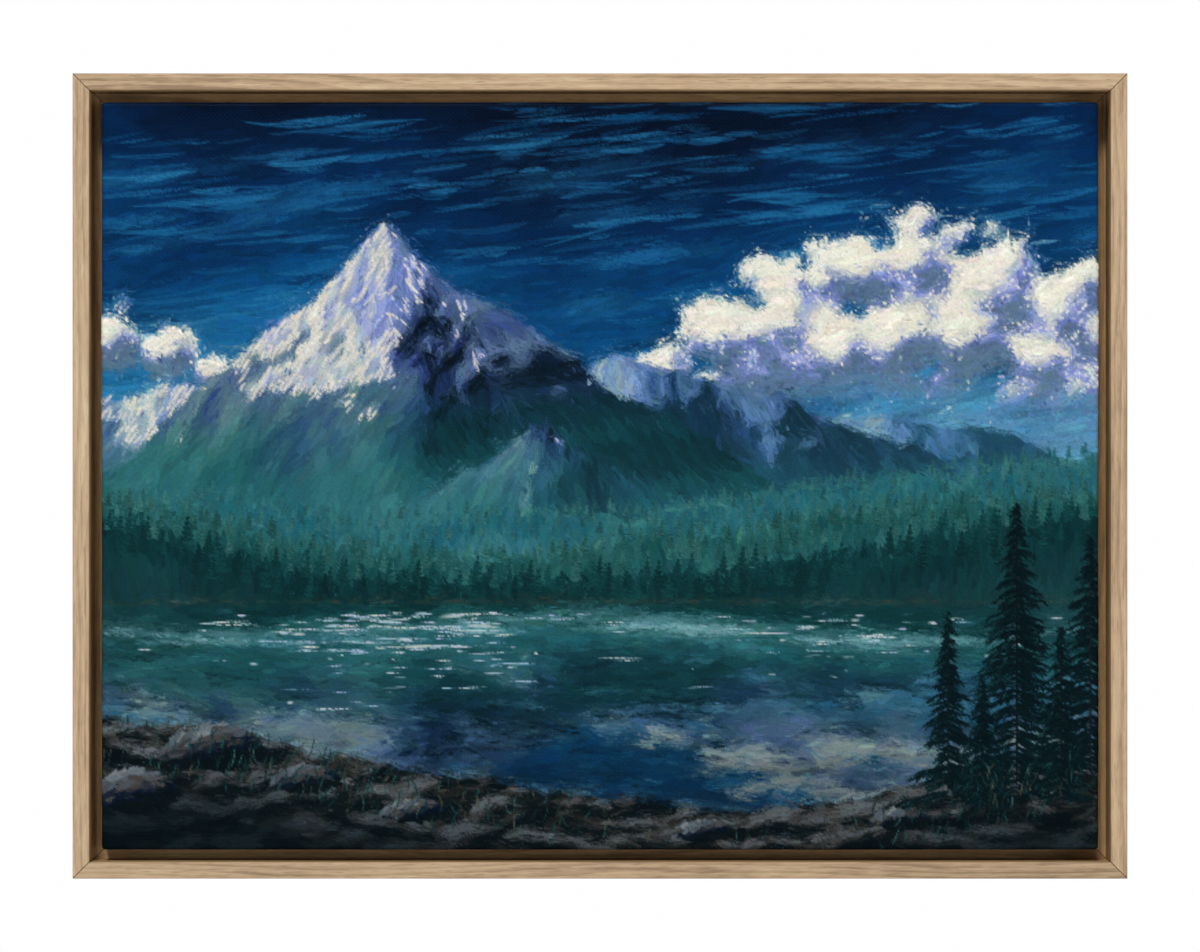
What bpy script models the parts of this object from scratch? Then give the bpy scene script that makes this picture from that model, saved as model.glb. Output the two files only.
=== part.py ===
"""A framed oil painting: a cloth stretched over four mitred pine bars, in a slim oak shadow-gap frame.

Each oak rail is an L in section. Its wall stands round the canvas with a narrow gap, and its ledge
carries the canvas from behind. The picture looks towards -Y and +Z is up. The plane Y = 0 is the
wall, and the origin is the middle of the top rail's rear face, where the frame bears on the wall.
"""

import math

import bmesh
import bpy
from mathutils import Matrix, Vector

# Driving dimensions, in metres
CANVAS_WIDTH = 0.4064
CANVAS_HEIGHT = 0.3048
CLOTH_THICKNESS = 0.0008
CLOTH_EDGE_RADIUS = 0.0014
CLOTH_FLAP_WIDTH = 0.025

BAR_WIDTH = 0.038
BAR_THICKNESS = 0.018
BAR_LIP_WIDTH = 0.006
BAR_FRONT_DROP = 0.003
BAR_EDGE_RADIUS = 0.0006

FACE_WIDTH = 0.0068
SHADOW_GAP = 0.0048
FRAME_DEPTH = 0.032
LEDGE_THICKNESS = 0.007
LEDGE_BEARING = 0.012
RAIL_EDGE_RADIUS = 0.0006

SCREW_FROM_CORNER = 0.075
SCREW_HOLE_RADIUS = 0.002
COUNTERSINK_RADIUS = 0.0038
COUNTERSINK_DEPTH = 0.0024
HOLE_STEPS = 16
CUT_OVERRUN = 0.001

# Room between two pieces that touch, and the same room at a mitre
TOUCH_GAP = 0.0003

# Straight steps in a rounded edge
ARC_STEPS = 3

# Worked out from the driving dimensions
CANVAS_DEPTH = BAR_THICKNESS + 2 * (CLOTH_THICKNESS + TOUCH_GAP)
CANVAS_BACK = LEDGE_THICKNESS + TOUCH_GAP
RAIL_WIDTH = FACE_WIDTH + SHADOW_GAP + LEDGE_BEARING
FRAME_WIDTH = CANVAS_WIDTH + 2 * (SHADOW_GAP + FACE_WIDTH)
FRAME_HEIGHT = CANVAS_HEIGHT + 2 * (SHADOW_GAP + FACE_WIDTH)
BARS_WIDTH = CANVAS_WIDTH - 2 * (CLOTH_THICKNESS + TOUCH_GAP)
BARS_HEIGHT = CANVAS_HEIGHT - 2 * (CLOTH_THICKNESS + TOUCH_GAP)
BARS_BACK = CANVAS_BACK + CLOTH_THICKNESS + TOUCH_GAP
CENTRE_HEIGHT = RAIL_WIDTH / 2 - FRAME_HEIGHT / 2


def clear_scene():
    for item in list(bpy.data.objects):
        bpy.data.objects.remove(item, do_unlink=True)


def new_collection(name):
    collection = bpy.data.collections.new(name)
    bpy.context.scene.collection.children.link(collection)
    return collection


def make_material(name, colour, roughness, metallic=0.0):
    material = bpy.data.materials.new(name)
    material.use_nodes = True
    shader = material.node_tree.nodes["Principled BSDF"]
    shader.inputs["Base Color"].default_value = (*colour, 1.0)
    shader.inputs["Roughness"].default_value = roughness
    shader.inputs["Metallic"].default_value = metallic
    return material


def rounded_corner(before, corner, after, radius):
    """The points of the arc that takes a corner off an outline, or the corner itself if it is sharp."""
    if radius <= 0:
        return [corner]
    towards_before = (before - corner).normalized()
    towards_after = (after - corner).normalized()
    half_angle = towards_before.angle(towards_after) / 2
    middle = (towards_before + towards_after).normalized()
    centre = corner + middle * radius / math.sin(half_angle)
    start = corner + towards_before * radius / math.tan(half_angle) - centre
    end = corner + towards_after * radius / math.tan(half_angle) - centre
    sweep = start.angle_signed(end)
    return [
        centre + Matrix.Rotation(-sweep * step / ARC_STEPS, 2) @ start
        for step in range(ARC_STEPS + 1)
    ]


def rounded_outline(corners):
    """A closed outline from corners given as (across, depth, radius)."""
    points = [Vector(corner[:2]) for corner in corners]
    outline = []
    for index, corner in enumerate(corners):
        before = points[index - 1]
        after = points[(index + 1) % len(points)]
        outline += rounded_corner(before, points[index], after, corner[2])
    return outline


def prism_from_outline(outline, length):
    """A flat outline drawn out to a length, as a mesh with its caps welded on."""
    curve = bpy.data.curves.new("section", "CURVE")
    curve.dimensions = "2D"
    curve.fill_mode = "BOTH"
    curve.extrude = length / 2
    spline = curve.splines.new("POLY")
    spline.points.add(len(outline) - 1)
    for point, place in zip(spline.points, outline):
        point.co = (place.x, place.y, 0, 1)
    spline.use_cyclic_u = True
    drawn = bpy.data.objects.new("section", curve)
    bpy.context.scene.collection.objects.link(drawn)
    bpy.context.view_layer.update()
    seen = drawn.evaluated_get(bpy.context.evaluated_depsgraph_get())
    mesh = bpy.data.meshes.new_from_object(seen)
    bpy.data.objects.remove(drawn)
    bpy.data.curves.remove(curve)
    return mesh


def mitred_member(name, outline, length, material, collection):
    """A straight member with both ends mitred at 45 degrees.

    The outline gives each point's distance in from the outer edge and its distance forward from
    the back. The member's origin is the middle of its outer edge, at the back.
    """
    mesh = prism_from_outline(outline, length)
    mesh.name = name
    body = bmesh.new()
    body.from_mesh(mesh)
    bmesh.ops.remove_doubles(body, verts=body.verts, dist=0.00001)
    mitre_gap = TOUCH_GAP / math.sqrt(2)
    for vertex in body.verts:
        across, forward, along = vertex.co
        reach = length / 2 - across - mitre_gap
        vertex.co = (math.copysign(reach, along), -forward, -across)
    body.normal_update()
    bmesh.ops.recalc_face_normals(body, faces=body.faces)
    body.to_mesh(mesh)
    body.free()
    mesh.shade_smooth()
    mesh.set_sharp_from_angle(angle=math.radians(40))
    member = bpy.data.objects.new(name, mesh)
    member.data.materials.append(material)
    collection.objects.link(member)
    return member


def four_sided_frame(names, outline, width, height, back, material, collection):
    """Four mitred members set round the picture's centre, named top, bottom, left and right.

    Each is returned with its length.
    """
    places = (
        (names[0], width, (0, CENTRE_HEIGHT + height / 2), 0),
        (names[1], width, (0, CENTRE_HEIGHT - height / 2), 180),
        (names[2], height, (-width / 2, CENTRE_HEIGHT), -90),
        (names[3], height, (width / 2, CENTRE_HEIGHT), 90),
    )
    members = []
    for name, length, (x, z), turn in places:
        member = mitred_member(name, outline, length, material, collection)
        member.location = (x, -back, z)
        member.rotation_euler = (0, math.radians(turn), 0)
        members.append((member, length))
    return members


def turned_cutter(name, profile, collection):
    """A cutter turned round its own Z axis from a profile of (radius, height), top to bottom."""
    mesh = bpy.data.meshes.new(name)
    body = bmesh.new()
    points = [body.verts.new((radius, 0, height)) for radius, height in profile]
    for first, second in zip(points, points[1:]):
        body.edges.new((first, second))
    body.to_mesh(mesh)
    body.free()
    cutter = bpy.data.objects.new(name, mesh)
    cutter.hide_render = True
    cutter.display_type = "WIRE"
    collection.objects.link(cutter)
    turn = cutter.modifiers.new("turn", "SCREW")
    turn.steps = HOLE_STEPS
    turn.render_steps = HOLE_STEPS
    turn.use_merge_vertices = True
    turn.merge_threshold = 0.00001
    return cutter


def screw_holes(rails, cutters):
    """Countersunk holes through the ledge, for the screws that hold the canvas from behind."""
    profile = (
        (0, CUT_OVERRUN),
        (COUNTERSINK_RADIUS, CUT_OVERRUN),
        (COUNTERSINK_RADIUS, 0),
        (SCREW_HOLE_RADIUS, -COUNTERSINK_DEPTH),
        (SCREW_HOLE_RADIUS, -LEDGE_THICKNESS - CUT_OVERRUN),
        (0, -LEDGE_THICKNESS - CUT_OVERRUN),
    )
    middle_of_bearing = FACE_WIDTH + SHADOW_GAP + LEDGE_BEARING / 2
    for rail, length in rails:
        for side in (-1, 1):
            cutter = turned_cutter(f"{rail.name}_screw_hole", profile, cutters)
            cutter.parent = rail
            cutter.location = (side * (length / 2 - SCREW_FROM_CORNER), 0, -middle_of_bearing)
            cutter.rotation_euler = (math.radians(-90), 0, 0)
            hole = rail.modifiers.new("screw_hole", "BOOLEAN")
            hole.operation = "DIFFERENCE"
            hole.object = cutter


def oak_frame(collection, cutters):
    """The rails: a thin wall that shows at the front, and a ledge at the back that carries the canvas."""
    outline = rounded_outline(
        (
            (0, 0, RAIL_EDGE_RADIUS),
            (RAIL_WIDTH, 0, RAIL_EDGE_RADIUS),
            (RAIL_WIDTH, LEDGE_THICKNESS, 0),
            (FACE_WIDTH, LEDGE_THICKNESS, 0),
            (FACE_WIDTH, FRAME_DEPTH, RAIL_EDGE_RADIUS),
            (0, FRAME_DEPTH, RAIL_EDGE_RADIUS),
        )
    )
    names = ("frame_top_rail", "frame_bottom_rail", "frame_left_rail", "frame_right_rail")
    oak = make_material("natural_oak", (0.52, 0.37, 0.22), 0.55)
    rails = four_sided_frame(names, outline, FRAME_WIDTH, FRAME_HEIGHT, 0, oak, collection)
    screw_holes(rails, cutters)


def stretcher_bars(collection):
    """The bars: a raised lip at the outer edge, and a front that slopes back clear of the cloth."""
    outline = rounded_outline(
        (
            (0, 0, BAR_EDGE_RADIUS),
            (BAR_WIDTH, 0, BAR_EDGE_RADIUS),
            (BAR_WIDTH, BAR_THICKNESS - BAR_FRONT_DROP, BAR_EDGE_RADIUS),
            (BAR_LIP_WIDTH, BAR_THICKNESS, 0),
            (0, BAR_THICKNESS, BAR_EDGE_RADIUS),
        )
    )
    names = (
        "stretcher_top_bar",
        "stretcher_bottom_bar",
        "stretcher_left_bar",
        "stretcher_right_bar",
    )
    pine = make_material("raw_pine", (0.72, 0.54, 0.33), 0.65)
    four_sided_frame(names, outline, BARS_WIDTH, BARS_HEIGHT, BARS_BACK, pine, collection)


def canvas(collection):
    """The cloth, stretched over the front and sides of the bars and turned over behind them."""
    mesh = bpy.data.meshes.new("canvas")
    body = bmesh.new()
    bmesh.ops.create_cube(body, size=1)
    bmesh.ops.scale(body, vec=(CANVAS_WIDTH, CANVAS_DEPTH, CANVAS_HEIGHT), verts=body.verts)
    back = max(body.faces, key=lambda face: face.calc_center_median().y)
    bmesh.ops.inset_region(body, faces=[back], thickness=CLOTH_FLAP_WIDTH, use_even_offset=True)
    bmesh.ops.delete(body, geom=[back], context="FACES_ONLY")
    body.to_mesh(mesh)
    body.free()
    cloth = bpy.data.objects.new("canvas", mesh)
    cloth.location = (0, -(CANVAS_BACK + CANVAS_DEPTH / 2), CENTRE_HEIGHT)
    cloth.data.materials.append(make_material("painted_canvas", (0.03, 0.12, 0.2), 0.5))
    collection.objects.link(cloth)

    rounding = cloth.modifiers.new("rounded_edges", "BEVEL")
    rounding.width = CLOTH_EDGE_RADIUS
    rounding.segments = ARC_STEPS
    rounding.limit_method = "ANGLE"
    rounding.angle_limit = math.radians(40)
    wall = cloth.modifiers.new("cloth_thickness", "SOLIDIFY")
    wall.thickness = CLOTH_THICKNESS
    wall.offset = -1
    wall.use_even_offset = True


def build():
    clear_scene()
    painting = new_collection("framed_oil_painting")
    cutters = new_collection("cutters")
    oak_frame(painting, cutters)
    stretcher_bars(painting)
    canvas(painting)


build()
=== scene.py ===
"""A framed oil painting: snowy peaks over a still lake, in thick oils on stretched canvas, in an oak frame.

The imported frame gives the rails, the bars and a plain canvas. This script finishes them, and makes what is
too fine for them: the dried film of paint, the woven cloth with its folded corners, the staples and the
screws. The picture is painted touch by touch on a board of numbers, and the board's colours and thickness
then become the surface of the film.
"""

import math

import bmesh
import bpy
import numpy as np
from mathutils import Matrix, Vector


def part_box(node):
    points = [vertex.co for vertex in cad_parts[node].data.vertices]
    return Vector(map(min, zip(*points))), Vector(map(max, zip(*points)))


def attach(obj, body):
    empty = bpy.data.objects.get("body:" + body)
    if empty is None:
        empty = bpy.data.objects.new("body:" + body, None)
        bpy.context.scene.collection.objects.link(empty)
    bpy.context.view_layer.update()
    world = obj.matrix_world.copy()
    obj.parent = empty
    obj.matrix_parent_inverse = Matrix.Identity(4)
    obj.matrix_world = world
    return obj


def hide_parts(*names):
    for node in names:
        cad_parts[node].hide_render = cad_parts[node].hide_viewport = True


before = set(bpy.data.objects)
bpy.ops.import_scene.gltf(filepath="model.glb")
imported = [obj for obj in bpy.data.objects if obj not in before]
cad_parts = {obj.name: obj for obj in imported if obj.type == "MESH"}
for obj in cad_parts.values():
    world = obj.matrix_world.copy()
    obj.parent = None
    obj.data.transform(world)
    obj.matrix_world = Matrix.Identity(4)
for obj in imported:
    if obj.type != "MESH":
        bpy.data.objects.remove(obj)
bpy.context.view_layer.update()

# Places and sizes that the frame gives, in metres
CANVAS_LOW, CANVAS_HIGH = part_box("canvas")
CANVAS_WIDTH = CANVAS_HIGH.x - CANVAS_LOW.x
CANVAS_HEIGHT = CANVAS_HIGH.z - CANVAS_LOW.z
CANVAS_FACE = CANVAS_LOW.y
CANVAS_BACK = CANVAS_HIGH.y
CENTRE_HEIGHT = (CANVAS_LOW.z + CANVAS_HIGH.z) / 2
FRAME_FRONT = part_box("frame_top_rail")[0].y

# The cloth, in metres
CLOTH_THICKNESS = 0.0008
CLOTH_EDGE_RADIUS = 0.0014
CLOTH_FLAP_WIDTH = 0.025
LEAST_CORNER = 0.0003
FRAY = 0.0005
FINE_FRAY = 0.00018
THREADS_PER_METRE = 1020
EDGE_ARC = CLOTH_EDGE_RADIUS * math.pi / 2
FLAT_HALF_WIDTH = CANVAS_WIDTH / 2 - CLOTH_EDGE_RADIUS
FLAT_HALF_HEIGHT = CANVAS_HEIGHT / 2 - CLOTH_EDGE_RADIUS
LEDGE_BEARING = 0.012
SHADOW_GAP = 0.0048
TOUCH_GAP = 0.0003
LEDGE_FRONT = CANVAS_BACK + TOUCH_GAP

# The paint film, in metres
VERTEX_STEP = 0.00056
FILM_LIFT = 0.00004
SIDE_STEPS = 6
SIDE_LENGTH = CANVAS_BACK - CANVAS_FACE - 2 * CLOTH_EDGE_RADIUS
PAINTED_SIDE = 0.009
RAGGED_EDGE = 0.0022
PRIMING_FADE = 0.004
SHADE_FADE = 0.003
MM = 0.001

# The least thickness of the paint in millimetres, and how dark it dries, on the face and down the sides
LEAST_BODY = 0.015
DRIED_DARKER = 1.11
SIDE_SHADE = 0.35

# The picture's own width and height over its rounded edges, in millimetres
PICTURE_WIDTH = 2 * (FLAT_HALF_WIDTH + EDGE_ARC) / MM
PICTURE_HEIGHT = 2 * (FLAT_HALF_HEIGHT + EDGE_ARC) / MM

# The camera of the photograph, straight in front of the picture's middle
PICTURE_DISTANCE = 2.4
PHOTOGRAPH_WIDTH = 0.4886
SENSOR_WIDTH = 36

# The paints on the palette, as display colours from 0 to 255
NIGHT_BLUE = (3, 22, 46)
PRUSSIAN = (4, 46, 88)
DEEP_CERULEAN = (10, 78, 128)
CERULEAN = (34, 112, 160)
BRIGHT_CERULEAN = (58, 144, 190)
PALE_SKY = (104, 168, 192)
SEA_GLASS = (128, 172, 164)
SAGE_TEAL = (84, 138, 132)
TEAL = (30, 92, 94)
VIRIDIAN = (12, 62, 66)
PINE_SHADE = (6, 34, 40)
INK_TEAL = (5, 20, 26)
CREAM = (230, 227, 215)
WARM_CREAM = (226, 214, 190)
PEARL_GREY = (176, 186, 184)
PERIWINKLE = (112, 128, 198)
LILAC = (156, 166, 214)
COBALT_SHADE = (48, 66, 132)
SLATE = (92, 118, 142)
STONE = (128, 140, 144)
UMBER = (66, 52, 42)
OCHRE_GREY = (134, 120, 92)

# How much each channel counts in how light a colour looks
LIGHTNESS = np.array((0.3, 0.55, 0.15))


# The painting: everything here is in millimetres from the picture's upper left corner


def smooth_noise(shape, grain_down, grain_across, random):
    """Noise with features about that many cells high and wide, from 0 to 1."""
    rows, columns = shape
    spectrum = np.fft.rfft2(random.standard_normal(shape))
    down = np.fft.fftfreq(rows)[:, None] * grain_down
    across = np.fft.rfftfreq(columns)[None, :] * grain_across
    spectrum *= np.exp(-(down**2 + across**2) * 2.56)
    made = np.fft.irfft2(spectrum, shape)
    low, high = np.percentile(made, (1, 99))
    return np.clip((made - low) / (high - low), 0, 1)


def fractal_noise(shape, grain_down, grain_across, random, octaves=5):
    """Noise with detail at several scales, from 0 to 1."""
    total = sum(
        (smooth_noise(shape, grain_down / 2**octave, grain_across / 2**octave, random) - 0.5) * 0.55**octave
        for octave in range(octaves)
    )
    low, high = np.percentile(total, (1, 99))
    return np.clip((total - low) / (high - low), 0, 1)


def softened(layer, grain):
    """A layer blurred over about that many cells."""
    margin = 3 * int(grain) + 2
    padded = np.pad(layer, margin, mode="reflect")
    down = np.fft.fftfreq(padded.shape[0])[:, None]
    across = np.fft.rfftfreq(padded.shape[1])[None, :]
    spectrum = np.fft.rfft2(padded) * np.exp(-(down**2 + across**2) * (grain * 2.2) ** 2)
    return np.fft.irfft2(spectrum, padded.shape)[margin:-margin, margin:-margin]


def softened_colour(colour, grain):
    return np.stack([softened(colour[..., channel], grain) for channel in range(3)], -1)


def mix(first, second, share):
    share = np.asarray(share)[..., None] if np.ndim(share) else share
    return np.asarray(first, float) * (1 - share) + np.asarray(second, float) * share


def rise(low, high, value):
    """0 below the low value, 1 above the high one, and smooth between them."""
    share = np.clip((value - low) / (high - low), 0, 1)
    return share * share * (3 - 2 * share)


def through(paints, share):
    """A colour along a row of paints, for a share from 0 to 1."""
    stops = np.linspace(0, 1, len(paints))
    return np.stack([np.interp(share, stops, [paint[c] for paint in paints]) for c in range(3)], -1)


class Board:
    """The picture while it is being painted: its colours, the thickness of its paint, and its gloss."""

    def __init__(self, seed):
        self.random = np.random.default_rng(seed)
        self.columns = round(PICTURE_WIDTH * MM / VERTEX_STEP) + 1
        self.rows = round(PICTURE_HEIGHT * MM / VERTEX_STEP) + 1
        self.step_x = PICTURE_WIDTH / (self.columns - 1)
        self.step_y = PICTURE_HEIGHT / (self.rows - 1)
        self.shape = (self.rows, self.columns)
        self.colour = np.full((*self.shape, 3), PINE_SHADE, float)
        self.body = np.full(self.shape, 0.02)
        self.gloss = np.full(self.shape, 0.5)
        self.tooth = smooth_noise(self.shape, 0.9, 0.9, self.random)
        self.across = np.arange(self.columns) * self.step_x
        self.down = np.arange(self.rows) * self.step_y
        bristles = self.random.standard_normal((48, 66))
        self.bristles = np.clip(0.5 + 0.34 * (bristles[:, :64] + 0.6 * bristles[:, 1:65]), 0, 1)
        wide = sum(bristles[:, start : start + 58] for start in range(9)) / 3
        self.streaks = np.clip(0.5 + 0.3 * np.pad(wide, ((0, 0), (3, 3)), mode="edge"), 0, 1)

    def read(self, layer, x, y):
        """What a layer of the board holds at one place or at many."""
        column = np.clip(np.rint(np.asarray(x) / self.step_x), 0, self.columns - 1).astype(int)
        row = np.clip(np.rint(np.asarray(y) / self.step_y), 0, self.rows - 1).astype(int)
        return layer[row, column]

    def stroke(
        self, x, y, angle, length, width, first, second=None, body=0.12, bend=0.0, load=1.0,
        opacity=0.95, taper=3.0, dry=0.5,
    ):
        """One touch of a flat brush, its middle at (x, y). The angle turns clockwise from rightwards."""
        random = self.random
        half_length, half_width = length / 2, width / 2
        sag = bend * length
        cos, sin = math.cos(angle), math.sin(angle)
        reach_x = abs(cos) * half_length + abs(sin) * (half_width + abs(sag)) + 1
        reach_y = abs(sin) * half_length + abs(cos) * (half_width + abs(sag)) + 1
        left = max(0, int((x - reach_x) / self.step_x))
        right = min(self.columns, int((x + reach_x) / self.step_x) + 2)
        top = max(0, int((y - reach_y) / self.step_y))
        bottom = min(self.rows, int((y + reach_y) / self.step_y) + 2)
        if left >= right or top >= bottom:
            return
        dx = (self.across[left:right] - x)[None, :]
        dy = (self.down[top:bottom] - y)[:, None]
        along = (dx * cos + dy * sin) / half_length
        off = (dy * cos - dx * sin + sag * (along * along - 0.4)) / half_width
        ends = np.sqrt(np.clip(1 - np.abs(along) ** taper, 0, 1))
        edge = np.clip((ends - np.abs(off)) * (half_width / (0.7 * self.step_x)) + 0.4, 0, 1)
        if not edge.any():
            return
        lane = np.clip((off + 1) * 31.5, 0, 63).astype(np.int32)
        bristle = self.bristles[random.integers(48)][lane]
        streak = self.streaks[random.integers(48)][lane]
        tooth = self.tooth[top:bottom, left:right]
        left_on_brush = load * 1.7 - dry * (along + 1) / 2
        cover = edge * np.clip((left_on_brush + 1.1 * (bristle - 0.5) + 1.1 * (tooth - 0.5)) * 1.6, 0, 1)
        first = np.asarray(first, float)
        second = first if second is None else np.asarray(second, float)
        share = np.clip(streak + 0.25 * (bristle - 0.5), 0, 1)[..., None]
        wet = first * (1 - share) + second * share
        wet = wet * (0.96 + 0.08 * bristle[..., None])
        here = self.colour[top:bottom, left:right]
        here += (cover * opacity)[..., None] * (wet - here)
        ridge = np.exp(-(((np.abs(off) - 0.86 * ends) / 0.16) ** 2)) * 0.6
        lift = np.exp(-(((along - 0.9) / 0.1) ** 2)) * 0.5
        relief = body * (0.45 + 0.6 * bristle + ridge + lift)
        thick = self.body[top:bottom, left:right]
        thick += cover * (relief - 0.55 * thick)
        shine = self.gloss[top:bottom, left:right]
        shine += cover * (random.random() - shine) * 0.7


def scattered(random, count, left, top, right, bottom):
    """Places spread evenly but not in rows, in loose order."""
    x = left + (right - left) * ((np.arange(count) * 0.7548776662 + random.random()) % 1)
    y = top + (bottom - top) * ((np.arange(count) * 0.5698402910 + random.random()) % 1)
    order = random.permutation(count)
    return x[order], y[order]


def broken_line(points, across, roughness, random, waves=(24, 12, 6, 3)):
    """A skyline through the given points at each column, broken up as rock and treetops are."""
    line = np.interp(across, [p[0] for p in points], [p[1] for p in points])
    for wave in waves:
        knots = np.arange(-10, PICTURE_WIDTH + 10 + wave, wave)
        line = line + np.interp(across, knots, random.standard_normal(len(knots))) * wave * roughness
    return line


SHORE = 204
SKY_PAINTS = (NIGHT_BLUE, PRUSSIAN, DEEP_CERULEAN, CERULEAN, PALE_SKY)


class Design:
    """What the painter has in mind before the brush is taken up: a colour for each place, and a direction."""

    def __init__(self, board):
        self.board = board
        self.random = board.random
        self.x, self.y = np.meshgrid(board.across, board.down)
        self.colour = np.zeros((*board.shape, 3))
        self.turn = np.zeros(board.shape)
        self.open_sky = np.ones(board.shape)
        self.sky()
        self.clouds()
        for massif in MASSIFS:
            self.massif(*massif)
        for hill in HILLS:
            self.hill(*hill)
        self.lake()
        self.bank()

    def noise(self, grain_down, grain_across, octaves=5):
        """Fractal noise with features of that many millimetres."""
        board = self.board
        return fractal_noise(
            board.shape, grain_down / board.step_y, grain_across / board.step_x, self.random, octaves
        )

    def put(self, mask, colour):
        self.colour += mask[..., None] * (colour - self.colour)

    def sky(self):
        drift = self.noise(40, 90) - 0.5
        level = self.y + 14 * np.sin(self.x / 62 + 1.2) + 46 * drift
        self.colour = through(SKY_PAINTS, np.clip(level / 176, 0, 1))
        wisps = self.noise(5, 60)
        sheared = self.board.read(wisps, self.x, self.y + 0.16 * self.x)
        light = rise(0.6, 0.95, sheared) * rise(-10, 60, self.y)
        self.put(0.46 * light, BRIGHT_CERULEAN)
        self.put(0.5 * rise(0.62, 0.95, 1 - sheared), mix(NIGHT_BLUE, PRUSSIAN, 0.35))
        self.turn[:] = -0.17 + 0.09 * np.sin(self.x / 70)

    def clouds(self):
        field = np.full(self.board.shape, -9.0)
        for x, y, size in CLOUD_HEADS:
            field = np.maximum(field, 1 - np.hypot(self.x - x, (self.y - y) * 1.15) / size)
        billow = self.noise(16, 20, 6)
        density = field + 0.95 * (billow - 0.55)
        near, far = 2.6, 9
        lit = 0.42
        for reach, gain in ((near, 1.25), (far, 0.75)):
            lit = lit + gain * (
                self.board.read(density, self.x + reach * 0.7, self.y + reach)
                - self.board.read(density, self.x - reach * 0.7, self.y - reach)
            )
        lit = lit + 0.25 * (billow - 0.5) - 0.25 * rise(80, 128, self.y)
        colour = through((SLATE, PERIWINKLE, LILAC, PEARL_GREY, CREAM, CREAM), np.clip(lit, 0, 1))
        base = rise(-0.02, 0.1, density) * (1 - rise(116, 134, self.y + 16 * billow - 8))
        self.put(base, colour)
        self.open_sky[base > 0.05] = 0
        self.cloud = np.where(self.y < 132, density, -9)
        haze = rise(96, 138, self.y) * rise(170, 260, self.x) * (1 - rise(138, 170, self.y)) * 0.7
        self.put(haze * self.noise(5, 50), mix(LILAC, PALE_SKY, 0.5))

    def massif(self, peak_x, peak_y, left_slope, right_slope, haze, snow_line, shift):
        """One mountain. Its ridges fan out from the peak, lit from the upper left."""
        board = self.board
        out = board.across - peak_x
        slope = np.where(out < 0, -left_slope * out, right_slope * out) * (1 - 0.0007 * np.abs(out))
        level = [(-300, 0), (PICTURE_WIDTH + 300, 0)]
        skyline = peak_y + slope + broken_line(level, board.across, 0.11, self.random)
        low = self.y - skyline[None, :]
        depth = np.maximum(self.y - peak_y, 0)
        fan = (self.x - peak_x) / (1 + depth / 60)
        ridges = 0
        for grain, weight in ((30, 1.0), (14, 0.6), (7, 0.36), (3.5, 0.2)):
            layer = smooth_noise(board.shape, grain * 1.5 / board.step_y, grain / board.step_x, self.random)
            read = board.read(layer, 200 + fan * 1.25 + shift, depth * 0.8 + 40 + 0.25 * np.abs(fan))
            ridges = ridges + weight * (1 - np.abs(2 * read - 1))
        steep = np.gradient(ridges, board.step_x, axis=1) + 0.5 * np.gradient(ridges, board.step_y, axis=0)
        spine = peak_x + 0.16 * depth + 5 * np.sin(depth / 8)
        lit = 0.5 + 0.34 * np.tanh(steep * 6) - 0.24 * np.tanh((self.x - spine) / 7)
        lit = np.clip(lit + 0.12 * (ridges - 1.1), 0, 1)
        patches = self.noise(10, 13)
        height = (snow_line - self.y) / 34 + 0.8 * (ridges - 1.1) + 0.7 * (lit - 0.5) + 1.5 * (patches - 0.5)
        snow = rise(-0.1, 0.35, height)
        snow_colour = through((NIGHT_BLUE, COBALT_SHADE, SLATE, PERIWINKLE, LILAC, PEARL_GREY, CREAM), lit)
        rock = through((NIGHT_BLUE, INK_TEAL, COBALT_SHADE, SLATE, mix(STONE, SEA_GLASS, 0.4)), lit)
        grass = through((INK_TEAL, VIRIDIAN, TEAL, mix(TEAL, SAGE_TEAL, 0.6)), lit)
        ground = mix(rock, grass, rise(snow_line + 10, snow_line + 62, self.y + 16 * (ridges - 1.1)))
        colour = mix(mix(ground, snow_colour, snow), mix(CERULEAN, SEA_GLASS, 0.25), haze)
        colour = mix(colour, mix(CERULEAN, SEA_GLASS, 0.4), 0.3 * rise(120, 176, self.y))
        self.put(rise(-0.3, 0.5, low), colour)
        self.open_sky[low > -3] = 0
        self.cloud[low > -2] = -9
        self.turn = np.where(low > 0, np.where(self.x < spine, 2.15, 1.0), self.turn)

    def hill(self, points, dark, light, treetop, mist):
        """A wooded hill: dark firs, with their lit tips and a little mist at their feet."""
        board = self.board
        line = broken_line(points, board.across, 0.05, self.random)
        tips = np.abs(((board.across / treetop + 3 * self.random.random()) % 1) * 2 - 1)
        spread = broken_line([(-2, 0), (PICTURE_WIDTH, 0)], board.across, 0.28, self.random, waves=(3.5, 1.7))
        line = line + treetop * 0.9 * tips + spread * treetop * 0.35
        low = self.y - line[None, :]
        crowns = self.noise(4, 1.6, 3)
        clumps = self.noise(10, 22, 3)
        tip_light = 0.85 * np.exp(-np.maximum(low, 0) / 5) * crowns
        share = np.clip(tip_light + 0.55 * (clumps - 0.42) + 0.3 * (crowns - 0.5), 0, 1)
        colour = mix(dark, light, share)
        colour = mix(colour, mix(SEA_GLASS, PALE_SKY, 0.4), mist * rise(6, 24, low))
        self.put(rise(-0.3, 0.4, low), colour)
        self.turn = np.where(low > 0, math.pi / 2 + 0.5 * (crowns - 0.5), self.turn)

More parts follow.
